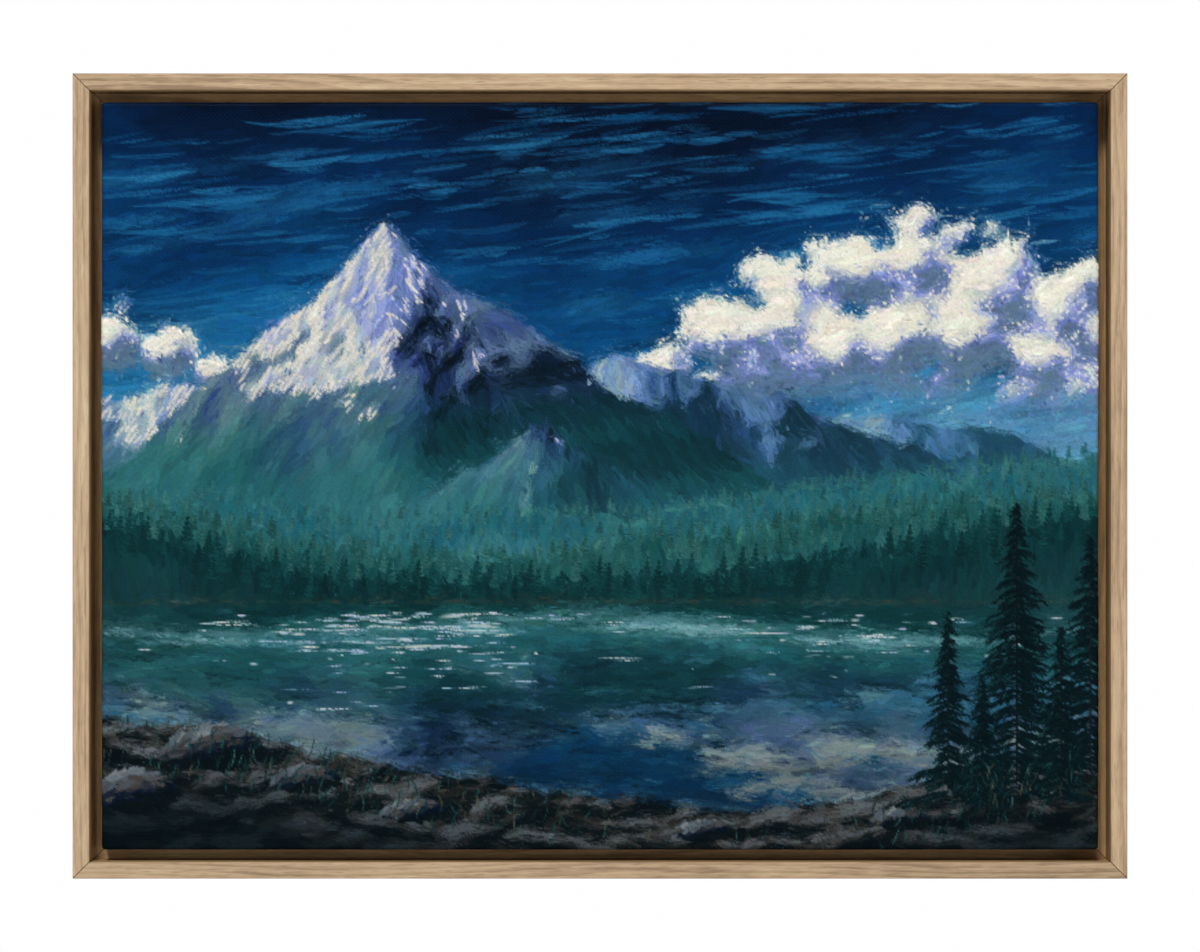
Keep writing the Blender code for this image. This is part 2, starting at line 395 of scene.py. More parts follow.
    def lake(self):
        """Still water that takes the colours of what stands above it."""
        board = self.board
        low = np.maximum(self.y - SHORE, 0)
        ripple = self.noise(1.6, 16, 3)
        swell = self.noise(5, 34, 3)
        seen_x = self.x + (swell - 0.5) * (4 + low * 0.22) + (ripple - 0.5) * 5
        seen_y = SHORE - low * 1.75 - (ripple - 0.5) * (3 + low * 0.3)
        mirrored = board.read(self.colour, seen_x, seen_y)
        deep = mix(VIRIDIAN, NIGHT_BLUE, rise(10, 90, low) * 0.8)
        colour = mix(mirrored, deep, 0.34 + 0.2 * rise(20, 90, low))
        colour = mix(colour, mix(SEA_GLASS, CERULEAN, 0.4), 0.38 * rise(0.62, 0.95, ripple))
        colour = mix(colour, INK_TEAL, 0.5 * rise(0.6, 0.95, 1 - ripple) * rise(0, 30, low))
        lane = np.exp(-(((low - 13 - 4 * np.sin(self.x / 40)) / 4.5) ** 2))
        lane = lane * rise(0.35, 0.8, self.noise(1.2, 30, 3))
        colour = mix(colour, mix(PALE_SKY, CREAM, 0.35), 0.75 * lane)
        shore = np.exp(-((low / 1.1) ** 2))
        colour = mix(colour, mix(UMBER, OCHRE_GREY, 0.4), 0.8 * shore)
        self.put(rise(-0.2, 0.2, self.y - SHORE), colour)
        self.turn = np.where(self.y > SHORE, 0.02 * (ripple - 0.5), self.turn)

    def bank(self):
        """The near shore: dark earth and stones."""
        board = self.board
        line = broken_line(BANK_LINE, board.across, 0.07, self.random)
        low = self.y - line[None, :]
        stones = self.noise(6, 15, 5)
        shifted = board.read(stones, self.x + 1.2, self.y + 1.6)
        shifted = shifted - board.read(stones, self.x - 1.2, self.y - 1.6)
        lit = np.clip(0.26 + 2.6 * shifted + 0.5 * (stones - 0.5), 0, 1)
        stone = mix(SLATE, STONE, 0.5)
        earth = (INK_TEAL, mix(INK_TEAL, UMBER, 0.6), mix(UMBER, SLATE, 0.35), mix(stone, UMBER, 0.35))
        colour = through(earth, lit)
        colour = mix(colour, INK_TEAL, 0.75 * rise(10, 44, low))
        self.put(rise(-0.4, 0.6, low), colour)
        foam = np.exp(-(((low + 1.5) / 1.3) ** 2)) * rise(0.4, 0.8, self.noise(1.5, 14, 3))
        self.put(0.55 * foam, mix(PALE_SKY, PEARL_GREY, 0.5))


# Each head's middle and its size
CLOUD_HEADS = (
    (232, 112, 16), (258, 98, 22), (283, 84, 25), (310, 72, 24), (337, 66, 25), (364, 74, 26),
    (392, 86, 26), (412, 98, 24), (245, 122, 20), (272, 114, 24), (300, 104, 26), (328, 98, 28),
    (356, 102, 28), (384, 112, 28), (405, 122, 26), (216, 126, 13), (26, 106, 15), (4, 98, 18),
    (46, 114, 11),
)
# From the farthest to the nearest: the peak, the slopes, the haze, the snow line, and which ridges it takes
MASSIFS = (
    (322, 128, 0.28, 0.3, 0.5, 134, 0),
    (210, 104, 0.62, 0.34, 0.3, 122, 60),
    (36, 112, 0.3, 0.5, 0.22, 124, 120),
    (116, 52, 0.92, 0.74, 0.02, 98, 180),
    (176, 136, 0.62, 0.42, 0.08, 120, 30),
)
# From the farthest to the nearest: the skyline, the dark and the light paint, the treetops, and the mist
HILLS = (
    (((-2, 166), (50, 160), (110, 170), (160, 166), (220, 168), (280, 158), (340, 152), (410, 142)),
     mix(TEAL, CERULEAN, 0.3), SAGE_TEAL, 1.6, 0.5),
    (((-2, 160), (40, 168), (90, 180), (150, 184), (210, 180), (262, 174), (320, 164), (410, 158)),
     mix(VIRIDIAN, TEAL, 0.5), SAGE_TEAL, 2.4, 0.4),
    (((-2, 168), (30, 176), (80, 190), (140, 194), (200, 193), (250, 190), (300, 184), (350, 174),
      (410, 166)),
     mix(PINE_SHADE, VIRIDIAN, 0.5), TEAL, 3.4, 0.12),
)
BANK_LINE = (
    (-2, 250), (40, 256), (90, 266), (150, 277), (210, 287), (270, 291), (330, 282), (372, 272), (410, 262)
)


def stroke_turns(design):
    """The way the brush moves at each place: along the edges of forms, and elsewhere as the design says."""
    light = softened(design.colour @ LIGHTNESS, 2)
    down, across = np.gradient(light)
    xx, yy, xy = (softened(layer, 5) for layer in (across * across, down * down, across * down))
    edge_turn = 0.5 * np.arctan2(2 * xy, xx - yy) + math.pi / 2
    strength = np.sqrt((xx - yy) ** 2 + 4 * xy**2)
    share = np.clip(strength / (strength + 6), 0, 0.9)
    cos = share * np.cos(2 * edge_turn) + (1 - share) * np.cos(2 * design.turn)
    sin = share * np.sin(2 * edge_turn) + (1 - share) * np.sin(2 * design.turn)
    return 0.5 * np.arctan2(sin, cos)


# How many touches, their longest and widest, the blur of what is aimed at, how far the picture may differ
# before a touch is made, and their body
PASSES = (
    (2400, 30, 8, 8, 0, 0.5), (7000, 16, 4.2, 3, 0, 0.8), (16000, 8.5, 2.2, 1.2, 9, 1.0),
    (26000, 4.6, 1.35, 0.6, 16, 1.15),
)


def paint_the_design(board, design):
    """The whole picture in four passes of touches, from broad to fine."""
    random = board.random
    board.colour[:] = softened_colour(design.colour, 5) * 0.85
    turns = stroke_turns(design)
    for count, longest, widest, blur, tolerance, thickness in PASSES:
        wanted = softened_colour(design.colour, blur) if blur > 1 else design.colour
        for x, y in zip(*scattered(random, count, -3, -3, PICTURE_WIDTH + 3, PICTURE_HEIGHT + 3)):
            tone = board.read(wanted, x, y)
            differs = np.abs(tone - board.read(board.colour, x, y)).mean()
            if tolerance and differs < tolerance * random.uniform(0.6, 1.4):
                continue
            angle = float(board.read(turns, x, y)) + random.normal(0, 0.13)
            length = longest * random.uniform(0.5, 1)
            aside = widest * 0.7
            other = board.read(wanted, x - math.sin(angle) * aside, y + math.cos(angle) * aside)
            light = min(1.0, float(tone @ LIGHTNESS) / 235)
            tint = random.normal(1, 0.045) * random.normal(1, 0.018, 3)
            board.stroke(
                x, y, angle, length, widest * random.uniform(0.55, 1), tone * tint, other * tint,
                body=thickness * (0.04 + 0.36 * light**1.6) * random.uniform(0.6, 1.2),
                bend=random.normal(0, 0.04), load=random.uniform(0.55, 1), opacity=0.9, taper=2.3,
            )


def light_strokes_in_the_sky(board, design):
    """Long soft touches along the wind, as the sky's last layer."""
    random = board.random
    for _ in range(260):
        lane = random.choice((6, 18, 30, 43, 55, 70, 88))
        x = random.uniform(-5, PICTURE_WIDTH)
        y = lane - 0.08 * (x - 200) + random.normal(0, 4)
        under = board.read(board.colour, x, y)
        tone = mix(mix(DEEP_CERULEAN, CERULEAN, random.random()), BRIGHT_CERULEAN, random.uniform(0, 0.9))
        for _ in range(random.integers(1, 5)):
            here_x, here_y = x + random.normal(0, 11), y + random.normal(0, 1.5)
            length = min(60, 9 + random.exponential(15))
            angle = -0.1 + random.normal(0, 0.05)
            ends = np.linspace(-length / 2, length / 2, 7)
            if board.read(design.open_sky, here_x + ends, here_y + angle * ends).min() == 0:
                continue
            board.stroke(
                here_x, here_y, angle, length, random.uniform(0.9, 2.8), tone, mix(tone, under, 0.7),
                body=random.uniform(0.06, 0.18), bend=random.normal(0.02, 0.03),
                load=random.uniform(0.6, 1.1), opacity=random.uniform(0.25, 0.7),
                taper=random.uniform(1.1, 2.2), dry=0.8,
            )


def dabs_on_the_clouds(board, design):
    """Small thick dabs, dense on the lit heads and loose round their edges."""
    random = board.random
    for x, y in zip(*scattered(random, 15000, 0, 30, PICTURE_WIDTH, 136)):
        density = board.read(design.cloud, x, y) + random.normal(0, 0.05)
        if density < -0.12 or random.random() < 0.35:
            continue
        tone = board.read(board.colour, x + random.normal(0, 1.3), y + 0.8 + random.normal(0, 1.3))
        light = tone.mean() / 255
        if light > 0.6:
            tone = mix(tone, CREAM, random.uniform(0.2, 1))
        elif density < 0 or random.random() < 0.2:
            tone = mix(tone, (CREAM, PALE_SKY, PERIWINKLE)[random.integers(3)], random.uniform(0.1, 0.6))
        else:
            tone = mix(tone, (PERIWINKLE, COBALT_SHADE, SLATE)[random.integers(3)], random.uniform(0, 0.5))
        board.stroke(
            x, y, random.uniform(0, math.pi), random.uniform(0.9, 2.6), random.uniform(0.7, 1.5), tone,
            body=random.uniform(0.15, 0.5) * (0.3 + light), load=random.uniform(0.5, 0.9), taper=2,
        )


def small_firs(board):
    """Firs on the hills over the lake, a few touches each, lit on their left."""
    random = board.random
    for (points, dark, light, treetop, _), rows in zip(HILLS, ((0, 4, 9), (0, 5, 10), (0, 5, 9))):
        line = broken_line(points, board.across, 0.05, random)
        for row in rows:
            count = int(PICTURE_WIDTH / (treetop * 1.15))
            for x in random.permutation(count) * treetop * 1.15 + random.normal(0, treetop * 0.7, count):
                if random.random() < 0.4:
                    continue
                height = treetop * random.uniform(1.5, 3.1)
                foot = np.interp(x, board.across, line) + row + height * 0.4 + random.normal(0, 1)
                if foot > SHORE - 1.5:
                    continue
                tone = mix(dark, light, random.uniform(0, 0.5)) * random.uniform(0.7, 1)
                lit = mix(tone, light, random.uniform(0.2, 0.8))
                for share in (0.12, 0.34, 0.56, 0.78, 1.0):
                    reach = height * 0.3 * share
                    y = foot - height * (1 - share)
                    board.stroke(
                        x - reach * 0.25, y, 0.2, reach * 1.7 + 0.6, height * 0.2 + 0.35, tone, lit,
                        body=0.1, load=0.9, bend=0.12, taper=2, opacity=0.85,
                    )


def glints(board):
    """Small thick touches of light on the water."""
    random = board.random
    for _ in range(230):
        x = random.normal(122, 34) if random.random() < 0.7 else random.normal(300, 44)
        y = SHORE + 5 + abs(random.normal(0, 16))
        board.stroke(
            x, y, random.normal(0, 0.03), 2 + random.exponential(5), random.uniform(0.45, 1.1),
            mix(CREAM, PALE_SKY, random.random() * 0.8), mix(PEARL_GREY, LILAC, random.random()),
            body=random.uniform(0.15, 0.4), load=random.uniform(0.3, 0.7), taper=1.8,
        )


def rock(board, x, y, wide, tall):
    """A stone on the bank, built up from touches that are light above and dark below."""
    random = board.random
    for _ in range(int(60 + wide * 6)):
        turn = random.uniform(0, 2 * math.pi)
        out = math.sqrt(random.random())
        px, py = math.cos(turn) * out, math.sin(turn) * out * (1 - 0.3 * abs(math.cos(turn) * out))
        light = 0.3 - 0.32 * px - 0.62 * py + random.normal(0, 0.1)
        colour = through((INK_TEAL, NIGHT_BLUE, mix(UMBER, SLATE, 0.3), mix(SLATE, UMBER, 0.3), STONE), light)
        tint = random.normal(1, 0.08)
        board.stroke(
            x + px * wide / 2, y + py * tall / 2, random.normal(-0.25 + 0.6 * px + 0.3 * (py > 0), 0.25),
            random.uniform(0.12, 0.3) * wide, random.uniform(1.2, 2.6), colour * tint,
            mix(colour, UMBER, 0.35 * random.random()), body=0.06 + 0.26 * max(0, min(1, light)),
            load=random.uniform(0.5, 0.95), taper=2.4, bend=0.04,
        )


# The middle of each, how wide and how tall
ROCKS = (
    (46, 264, 38, 18), (84, 277, 26, 11), (14, 282, 34, 18), (128, 290, 24, 9), (246, 298, 22, 8),
    (326, 293, 22, 8),
)


def grass(board):
    """Thin blades on the bank, leaning a little to the right."""
    random = board.random
    line = broken_line(BANK_LINE, board.across, 0, random)
    for _ in range(420):
        x = random.choice((random.normal(62, 40), random.normal(362, 36), random.normal(120, 60)))
        foot = np.interp(x, board.across, line) + random.uniform(1, 24)
        height = random.uniform(3, 8)
        lean = random.normal(0.2, 0.26)
        pick = random.random()
        tone = mix((TEAL, SAGE_TEAL, OCHRE_GREY, VIRIDIAN)[random.integers(4)], INK_TEAL, 0.35 + 0.5 * pick)
        board.stroke(
            x + lean * height / 2, foot - height / 2, -math.pi / 2 + lean, height, random.uniform(0.5, 0.95),
            tone, mix(tone, SAGE_TEAL, random.random() * 0.4), body=0.12, bend=random.normal(0, 0.09),
            load=0.6, taper=1.5,
        )


def bough(board, x, y, side, reach, thickness, tone, light):
    """One drooping branch of a fir, with tufts hanging from it."""
    random = board.random
    droop = random.uniform(0.16, 0.5)
    board.stroke(
        x + side * reach * 0.5, y + reach * 0.5 * droop, side * droop, reach * 1.1, thickness, tone,
        mix(tone, INK_TEAL, random.random()), body=0.12, load=0.8, bend=side * 0.05, taper=1.7,
    )
    lit = light if side < 0 or random.random() < 0.3 else mix(tone, light, 0.3)
    for _ in range(max(1, int(reach / 2.2))):
        share = random.uniform(0.25, 1.05)
        board.stroke(
            x + side * reach * share, y + reach * share * droop + random.uniform(-0.4, 1.4),
            side * random.uniform(0.3, 1.2), random.uniform(1.4, 3.2) + thickness, thickness * 0.65,
            mix(tone, lit, random.uniform(0, 0.9) * share), mix(tone, INK_TEAL, random.random() * 0.6),
            body=0.12 + 0.12 * share, load=0.7, taper=1.7,
        )


# Where each stands, and its height
NEAR_FIRS = ((346, 282, 74), (404, 272, 96), (374, 280, 118), (392, 284, 70), (360, 288, 54))


def near_fir(board, x, foot, height, tone, light):
    """A tall fir on the near bank, its boughs widening downwards."""
    random = board.random
    board.stroke(x, foot - height * 0.48, math.pi / 2, height * 0.98, 1.3, INK_TEAL, UMBER, body=0.1, taper=6)
    levels = int(height / 1.9)
    for level in reversed(range(levels)):
        share = (level + 0.5) / levels
        y = foot - height * (1 - share) * 0.97
        spread = height * 0.19 * share**0.75 * (0.8 + 0.3 * math.sin(level * 2.4 + x)) + 0.6
        for side in (-1, 1, -1, 1, -1, 1):
            if random.random() < 0.84:
                reach = spread * random.uniform(0.35, 1.15)
                bough(board, x, y + random.normal(0, 1.1), side, reach, random.uniform(1.0, 1.9), tone, light)


def touches_on_the_snow(board, design):
    """Thick light touches down the sunny ridges of the peaks, and thin dark ones in the clefts."""
    random = board.random
    light = design.colour @ LIGHTNESS
    detail = softened(light, 1.5) - softened(light, 8)
    for x, y in zip(*scattered(random, 5200, 0, 48, 200, 140)):
        if board.read(design.open_sky, x, y) or board.read(design.cloud, x, y) > -0.12:
            continue
        tone, stands_out = board.read(design.colour, x, y), board.read(detail, x, y)
        angle = float(board.read(design.turn, x, y)) + random.normal(0, 0.22)
        if tone.mean() > 140 and stands_out > 4:
            warm = mix(CREAM, WARM_CREAM, random.random())
            board.stroke(
                x, y, angle, random.uniform(1.6, 6.5), random.uniform(0.7, 1.7),
                mix(warm, tone, random.uniform(0, 0.6)), mix(warm, LILAC, random.uniform(0, 0.5)),
                body=random.uniform(0.25, 0.65), bend=random.normal(0, 0.05),
                load=random.uniform(0.5, 0.9), taper=2, dry=0.8,
            )
        elif tone.mean() > 70 and stands_out < -9 and random.random() < 0.6:
            board.stroke(
                x, y, angle, random.uniform(1.5, 5), random.uniform(0.5, 1.1),
                mix(tone, COBALT_SHADE, random.uniform(0.3, 0.8)), mix(tone, SLATE, random.random()),
                body=0.08, bend=random.normal(0, 0.06), load=random.uniform(0.4, 0.8), taper=1.8, dry=0.8,
            )


def painted_board():
    """The picture, painted from the far things to the near ones."""
    board = Board(7)
    design = Design(board)
    paint_the_design(board, design)
    light_strokes_in_the_sky(board, design)
    dabs_on_the_clouds(board, design)
    small_firs(board)
    glints(board)
    for x, y, wide, tall in ROCKS:
        rock(board, x, y, wide, tall)
    for x, foot, height in NEAR_FIRS:
        near_fir(board, x, foot, height, mix(PINE_SHADE, INK_TEAL, 0.5), mix(TEAL, SAGE_TEAL, 0.35))
    grass(board)
    touches_on_the_snow(board, design)
    return board


# Building helpers


def linked(name, data):
    """A new object of the scene."""
    made = bpy.data.objects.new(name, data)
    bpy.context.scene.collection.objects.link(made)
    return made


def new_piece(name, mesh, materials):
    piece = linked(name, mesh)
    if not mesh.materials:
        for material in materials:
            mesh.materials.append(material)
    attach(piece, "root")
    return piece


def linear(display):
    """Display colours from 0 to 1 as the linear light that Blender's sockets and attributes hold."""
    display = np.asarray(display, float)
    return np.where(display <= 0.04045, display / 12.92, ((display + 0.055) / 1.055) ** 2.4)


def shade(red, green, blue):
    """A display colour from 0 to 255 as a linear colour for a socket."""
    return (*linear((red / 255, green / 255, blue / 255)), 1)


def add_node(tree, kind, inputs=None, **settings):
    """A node with its settings made and its sockets filled or linked."""
    node = tree.nodes.new(kind)
    for name, value in settings.items():
        setattr(node, name, value)
    for name, value in (inputs or {}).items():
        if isinstance(value, bpy.types.NodeSocket):
            tree.links.new(value, node.inputs[name])
        else:
            node.inputs[name].default_value = value
    return node


def arithmetic(tree, operation, *values, clamp=False):
    node = add_node(tree, "ShaderNodeMath", dict(enumerate(values)), operation=operation, use_clamp=clamp)
    return node.outputs[0]


def plus(tree, first, second):
    return arithmetic(tree, "ADD", first, second)


def minus(tree, first, second, clamp=False):
    return arithmetic(tree, "SUBTRACT", first, second, clamp=clamp)


def times(tree, first, second, clamp=False):
    return arithmetic(tree, "MULTIPLY", first, second, clamp=clamp)


def held(tree, attribute, kind="Vector"):
    """What the mesh holds at each point under that name."""
    return add_node(tree, "ShaderNodeAttribute", attribute_name=attribute).outputs[kind]


def own_place(tree):
    return add_node(tree, "ShaderNodeTexCoord").outputs["Object"]


def ramp(tree, factor, stops):
    """A colour ramp through (position, linear colour) stops."""
    node = add_node(tree, "ShaderNodeValToRGB", {"Fac": factor})
    elements = node.color_ramp.elements
    while len(elements) < len(stops):
        elements.new(0.5)
    for element, (position, colour) in zip(elements, stops):
        element.position = position
        element.color = colour
    return node.outputs["Color"]


def between(tree, value, low, high, to_low=0.0, to_high=1.0):
    """A value carried smoothly from one range to another, and held at its ends."""
    node = add_node(
        tree, "ShaderNodeMapRange",
        {"Value": value, "From Min": low, "From Max": high, "To Min": to_low, "To Max": to_high},
        interpolation_type="SMOOTHSTEP",
    )
    return node.outputs["Result"]


def blended(tree, factor, first, second, blend_type="MIX"):
    """Two colours mixed by a factor."""
    values = {"Factor": factor, 6: first, 7: second}
    return add_node(tree, "ShaderNodeMix", values, data_type="RGBA", blend_type=blend_type).outputs[2]


def noise(tree, vector, scale, detail=2.0, roughness=0.5):
    values = {"Vector": vector, "Scale": scale, "Detail": detail, "Roughness": roughness}
    return add_node(tree, "ShaderNodeTexNoise", values).outputs["Fac"]


def stretched(tree, vector, scale):
    return add_node(tree, "ShaderNodeVectorMath", {0: vector, 1: scale}, operation="MULTIPLY").outputs[0]


def axes_of(tree, vector):
    return add_node(tree, "ShaderNodeSeparateXYZ", {"Vector": vector}).outputs


def new_material(name, **values):
    """A material with a Principled shader, its plain values set on its own sockets."""
    material = bpy.data.materials.new(name)
    material.use_nodes = True
    tree = material.node_tree
    surface = tree.nodes["Principled BSDF"]
    for socket, value in values.items():
        surface.inputs[socket.replace("_", " ")].default_value = value
    return material, tree, surface


def finish(tree, surface, colour, height, strength, distance, roughness=None):
    """Links a colour and a fine relief to the shader, and where it varies its roughness."""
    tree.links.new(colour, surface.inputs["Base Color"])
    if roughness is not None:
        tree.links.new(roughness, surface.inputs["Roughness"])
    node = add_node(tree, "ShaderNodeBump", {"Height": height, "Strength": strength, "Distance": distance})
    tree.links.new(node.outputs["Normal"], surface.inputs["Normal"])


def new_group(name, values, outputs):
    """A shader node group with named sockets: a vector and plain values in, and plain values out."""
    group = bpy.data.node_groups.new(name, "ShaderNodeTree")
    group.interface.new_socket("Vector", in_out="INPUT", socket_type="NodeSocketVector")
    for socket, value in values.items():
        made = group.interface.new_socket(socket, in_out="INPUT", socket_type="NodeSocketFloat")
        made.default_value = value
    for socket in outputs:
        group.interface.new_socket(socket, in_out="OUTPUT", socket_type="NodeSocketFloat")
    return group, group.nodes.new("NodeGroupInput").outputs, group.nodes.new("NodeGroupOutput").inputs


def wood_grain_group():
    """Grain along X, in metres: growth rings round a far pith, fibres, broad tone and open pores."""
    group, given, out = new_group(
        "wood grain", {"Ring Width": 0.0022, "Waver": 0.005, "Pore Length": 0.006},
        ("Tone", "Rings", "Pores", "Height"),
    )
    place = given["Vector"]
    sway = minus(group, noise(group, stretched(group, place, (4, 26, 26)), 1, 2), 0.5)
    parts = axes_of(group, place)
    squares = [
        arithmetic(group, "POWER", plus(group, parts[axis], pith), 2)
        for axis, pith in (("Y", 0.05), ("Z", 0.035))
    ]
    from_pith = arithmetic(group, "SQRT", plus(group, *squares))
    wavering = plus(group, from_pith, times(group, sway, given["Waver"]))
    ring = arithmetic(group, "FRACT", arithmetic(group, "DIVIDE", wavering, given["Ring Width"]))
    late_wood = between(group, ring, 0.35, 0.95)
    ring_end = between(group, ring, 0.96, 1.0, 1.0, 0.0)
    rings = times(group, late_wood, ring_end)
    broad = noise(group, stretched(group, place, (9, 60, 60)), 1, 3)
    figure = noise(group, stretched(group, place, (90, 700, 700)), 1, 3, 0.6)
    fibres = noise(group, stretched(group, place, (16, 1300, 1300)), 1, 4, 0.65)
    pore_axes = axes_of(group, stretched(group, place, (1, 2600, 2600)))
    drawn_out = arithmetic(group, "DIVIDE", pore_axes["X"], given["Pore Length"])
    pore_vector = add_node(
        group, "ShaderNodeCombineXYZ", {"X": drawn_out, "Y": pore_axes["Y"], "Z": pore_axes["Z"]}
    ).outputs[0]
    pores = between(group, noise(group, pore_vector, 1, 1), 0.6, 0.72)
    pores = times(group, pores, minus(group, 1.15, rings, clamp=True))
    tone = times(group, rings, -0.08)
    for layer, share in ((broad, 0.42), (figure, 0.3), (fibres, 0.3)):
        tone = plus(group, tone, times(group, layer, share))
    height = minus(group, times(group, fibres, 0.5), times(group, pores, 0.6))
    for name, value in (("Tone", tone), ("Rings", rings), ("Pores", pores), ("Height", height)):
        group.links.new(value, out[name])
    return group


def recess_group():
    """The part of the rails that faces the canvas, where the wood gets painted shade: the wall's inner side
    and the front of the ledge.
    """
    group, given, out = new_group("recess", {}, ("Share",))
    axes = axes_of(group, given["Vector"])
    share = between(group, axes["Y"], FRAME_FRONT + 0.0002, FRAME_FRONT + 0.0012)
    behind = LEDGE_FRONT + 0.0002
    share = times(group, share, between(group, axes["Y"], behind, behind + 0.0004, 1.0, 0.0))
    for axis, centre, half in (("X", 0, CANVAS_WIDTH / 2), ("Z", CENTRE_HEIGHT, CANVAS_HEIGHT / 2)):
        away = arithmetic(group, "ABSOLUTE", minus(group, axes[axis], centre))
        edge = half + SHADOW_GAP
        share = times(group, share, between(group, away, edge + 0.0001, edge + 0.0005, 1.0, 0.0))
    group.links.new(share, out["Share"])
    return group


def weave_group():
    """A plain weave over a vector in metres: threads that pass over and under each other in turn."""
    group, given, out = new_group("weave", {"Threads": float(THREADS_PER_METRE)}, ("Height",))
    place = given["Vector"]
    wander = add_node(group, "ShaderNodeTexNoise", {"Vector": place, "Scale": 120, "Detail": 2})
    wander = stretched(group, wander.outputs["Color"], (0.0009, 0.0009, 0))
    place = add_node(group, "ShaderNodeVectorMath", {0: place, 1: wander}, operation="ADD").outputs[0]
    axes = axes_of(group, place)
    threads = {}
    for axis in ("X", "Y"):
        counted = times(group, axes[axis], given["Threads"])
        whole = arithmetic(group, "FLOOR", counted)
        middle = minus(group, minus(group, counted, whole), 0.5)
        threads[axis] = whole, arithmetic(group, "COSINE", times(group, middle, math.pi * 0.94))
    parity = arithmetic(group, "FLOORED_MODULO", plus(group, threads["X"][0], threads["Y"][0]), 2)
    heights = []
    for axis, other in (("X", "Y"), ("Y", "X")):
        dip = plus(group, times(group, threads[other][1], 0.45), 0.55)
        heights.append(times(group, threads[axis][1], dip))
    warp = times(group, heights[0], parity)
    weft = times(group, heights[1], minus(group, 1, parity))
    group.links.new(plus(group, warp, weft), out["Height"])
    return group


# Each wood's tones, the shares of its rings and pores, the pores' colour, and what it sets in the grain
OAK = {
    "tones": (
        (0.36, shade(146, 122, 96)), (0.44, shade(174, 148, 117)), (0.5, shade(188, 160, 129)),
        (0.57, shade(196, 172, 138)), (0.66, shade(212, 192, 160)),
    ),
    "ring_share": 0.09,
    "pore_share": 0.5,
    "pore_colour": shade(118, 104, 86),
    "grown": {"Ring Width": 0.0031, "Waver": 0.03, "Pore Length": 0.007},
    "Specular_IOR_Level": 0.35,
}
PINE = {
    "tones": ((0.34, shade(202, 168, 122)), (0.48, shade(220, 190, 144)), (0.64, shade(234, 210, 170))),
    "ring_share": 0.4,
    "pore_share": 0.12,
    "pore_colour": shade(152, 112, 72),
    "grown": {"Ring Width": 0.0034, "Waver": 0.011, "Pore Length": 0.012},
    "Specular_IOR_Level": 0.3,
}
# The painted shade in the recess: how much of the wood's own colour is kept where it faces the canvas, darker
# and warmer
RECESS_PAINTED_SHADE = (1.0, 0.88, 0.66, 1)
# How each side's timber is turned, where it is cut from, and how pale its oak is: its own tone, with painted
# light that makes the top and left rails paler and the bottom rail darker
TIMBER = {
    "top": (0, 0.11, 1.03), "bottom": (0, 0.47, 0.93), "left": (math.pi / 2, 0.83, 1.02),
    "right": (math.pi / 2, 1.31, 1.0),
}


def grown_wood(
    name, groups, turn, shift, tones, ring_share, pore_share, pore_colour, grown, tone_and_painted_light=1.0, **values
):
    """Wood sawn with its grain along a piece. The turn about Y brings the piece's length to the grain's X."""
    grain, recess = groups
    # For the oak rails this carries painted light from above as well as each board's tone: the top rail
    # paler, the bottom darker
    tones = [(position, (*(part * tone_and_painted_light for part in tone[:3]), 1)) for position, tone in tones]
    material, tree, surface = new_material(name, **values)
    place = own_place(tree)
    mapped = add_node(
        tree, "ShaderNodeMapping", {"Vector": place, "Rotation": (0, turn, 0), "Location": shift}
    ).outputs[0]
    made = add_node(tree, "ShaderNodeGroup", {"Vector": mapped, **grown}, node_tree=grain).outputs
    colour = ramp(tree, made["Tone"], tones)
    ringed = blended(tree, times(tree, made["Rings"], ring_share), colour, tones[0][1])
    pored = blended(tree, times(tree, made["Pores"], pore_share), ringed, pore_colour)
    # Painted shade: the wood is darkened and warmed where it faces the canvas in the recess
    hollow = add_node(tree, "ShaderNodeGroup", {"Vector": place}, node_tree=recess).outputs["Share"]
    shaded_in_recess = blended(tree, hollow, pored, RECESS_PAINTED_SHADE, "MULTIPLY")
    rough = between(tree, made["Tone"], 0.3, 0.7, 0.62, 0.5)
    finish(tree, surface, shaded_in_recess, made["Height"], 0.5, 0.00012, rough)
    return material


def dress_the_wood(groups):
    """Each rail and bar is its own length of timber, with the grain along it."""
    for side, (turn, shift, tone_and_painted_light) in TIMBER.items():
        oak = grown_wood(
            f"oak_{side}_rail", groups, turn, (shift, shift * 0.013, shift * 0.021), tone_and_painted_light=tone_and_painted_light, **OAK
        )
        pine = grown_wood(f"pine_{side}_bar", groups, turn, (shift * 2, shift * 0.03, shift * 0.017), **PINE)
        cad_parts[f"frame_{side}_rail"].data.materials[0] = oak
        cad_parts[f"stretcher_{side}_bar"].data.materials[0] = pine


def woven(tree, weave, place):
    """How high the threads stand at each place of the cloth."""
    return add_node(tree, "ShaderNodeGroup", {"Vector": place}, node_tree=weave).outputs["Height"]


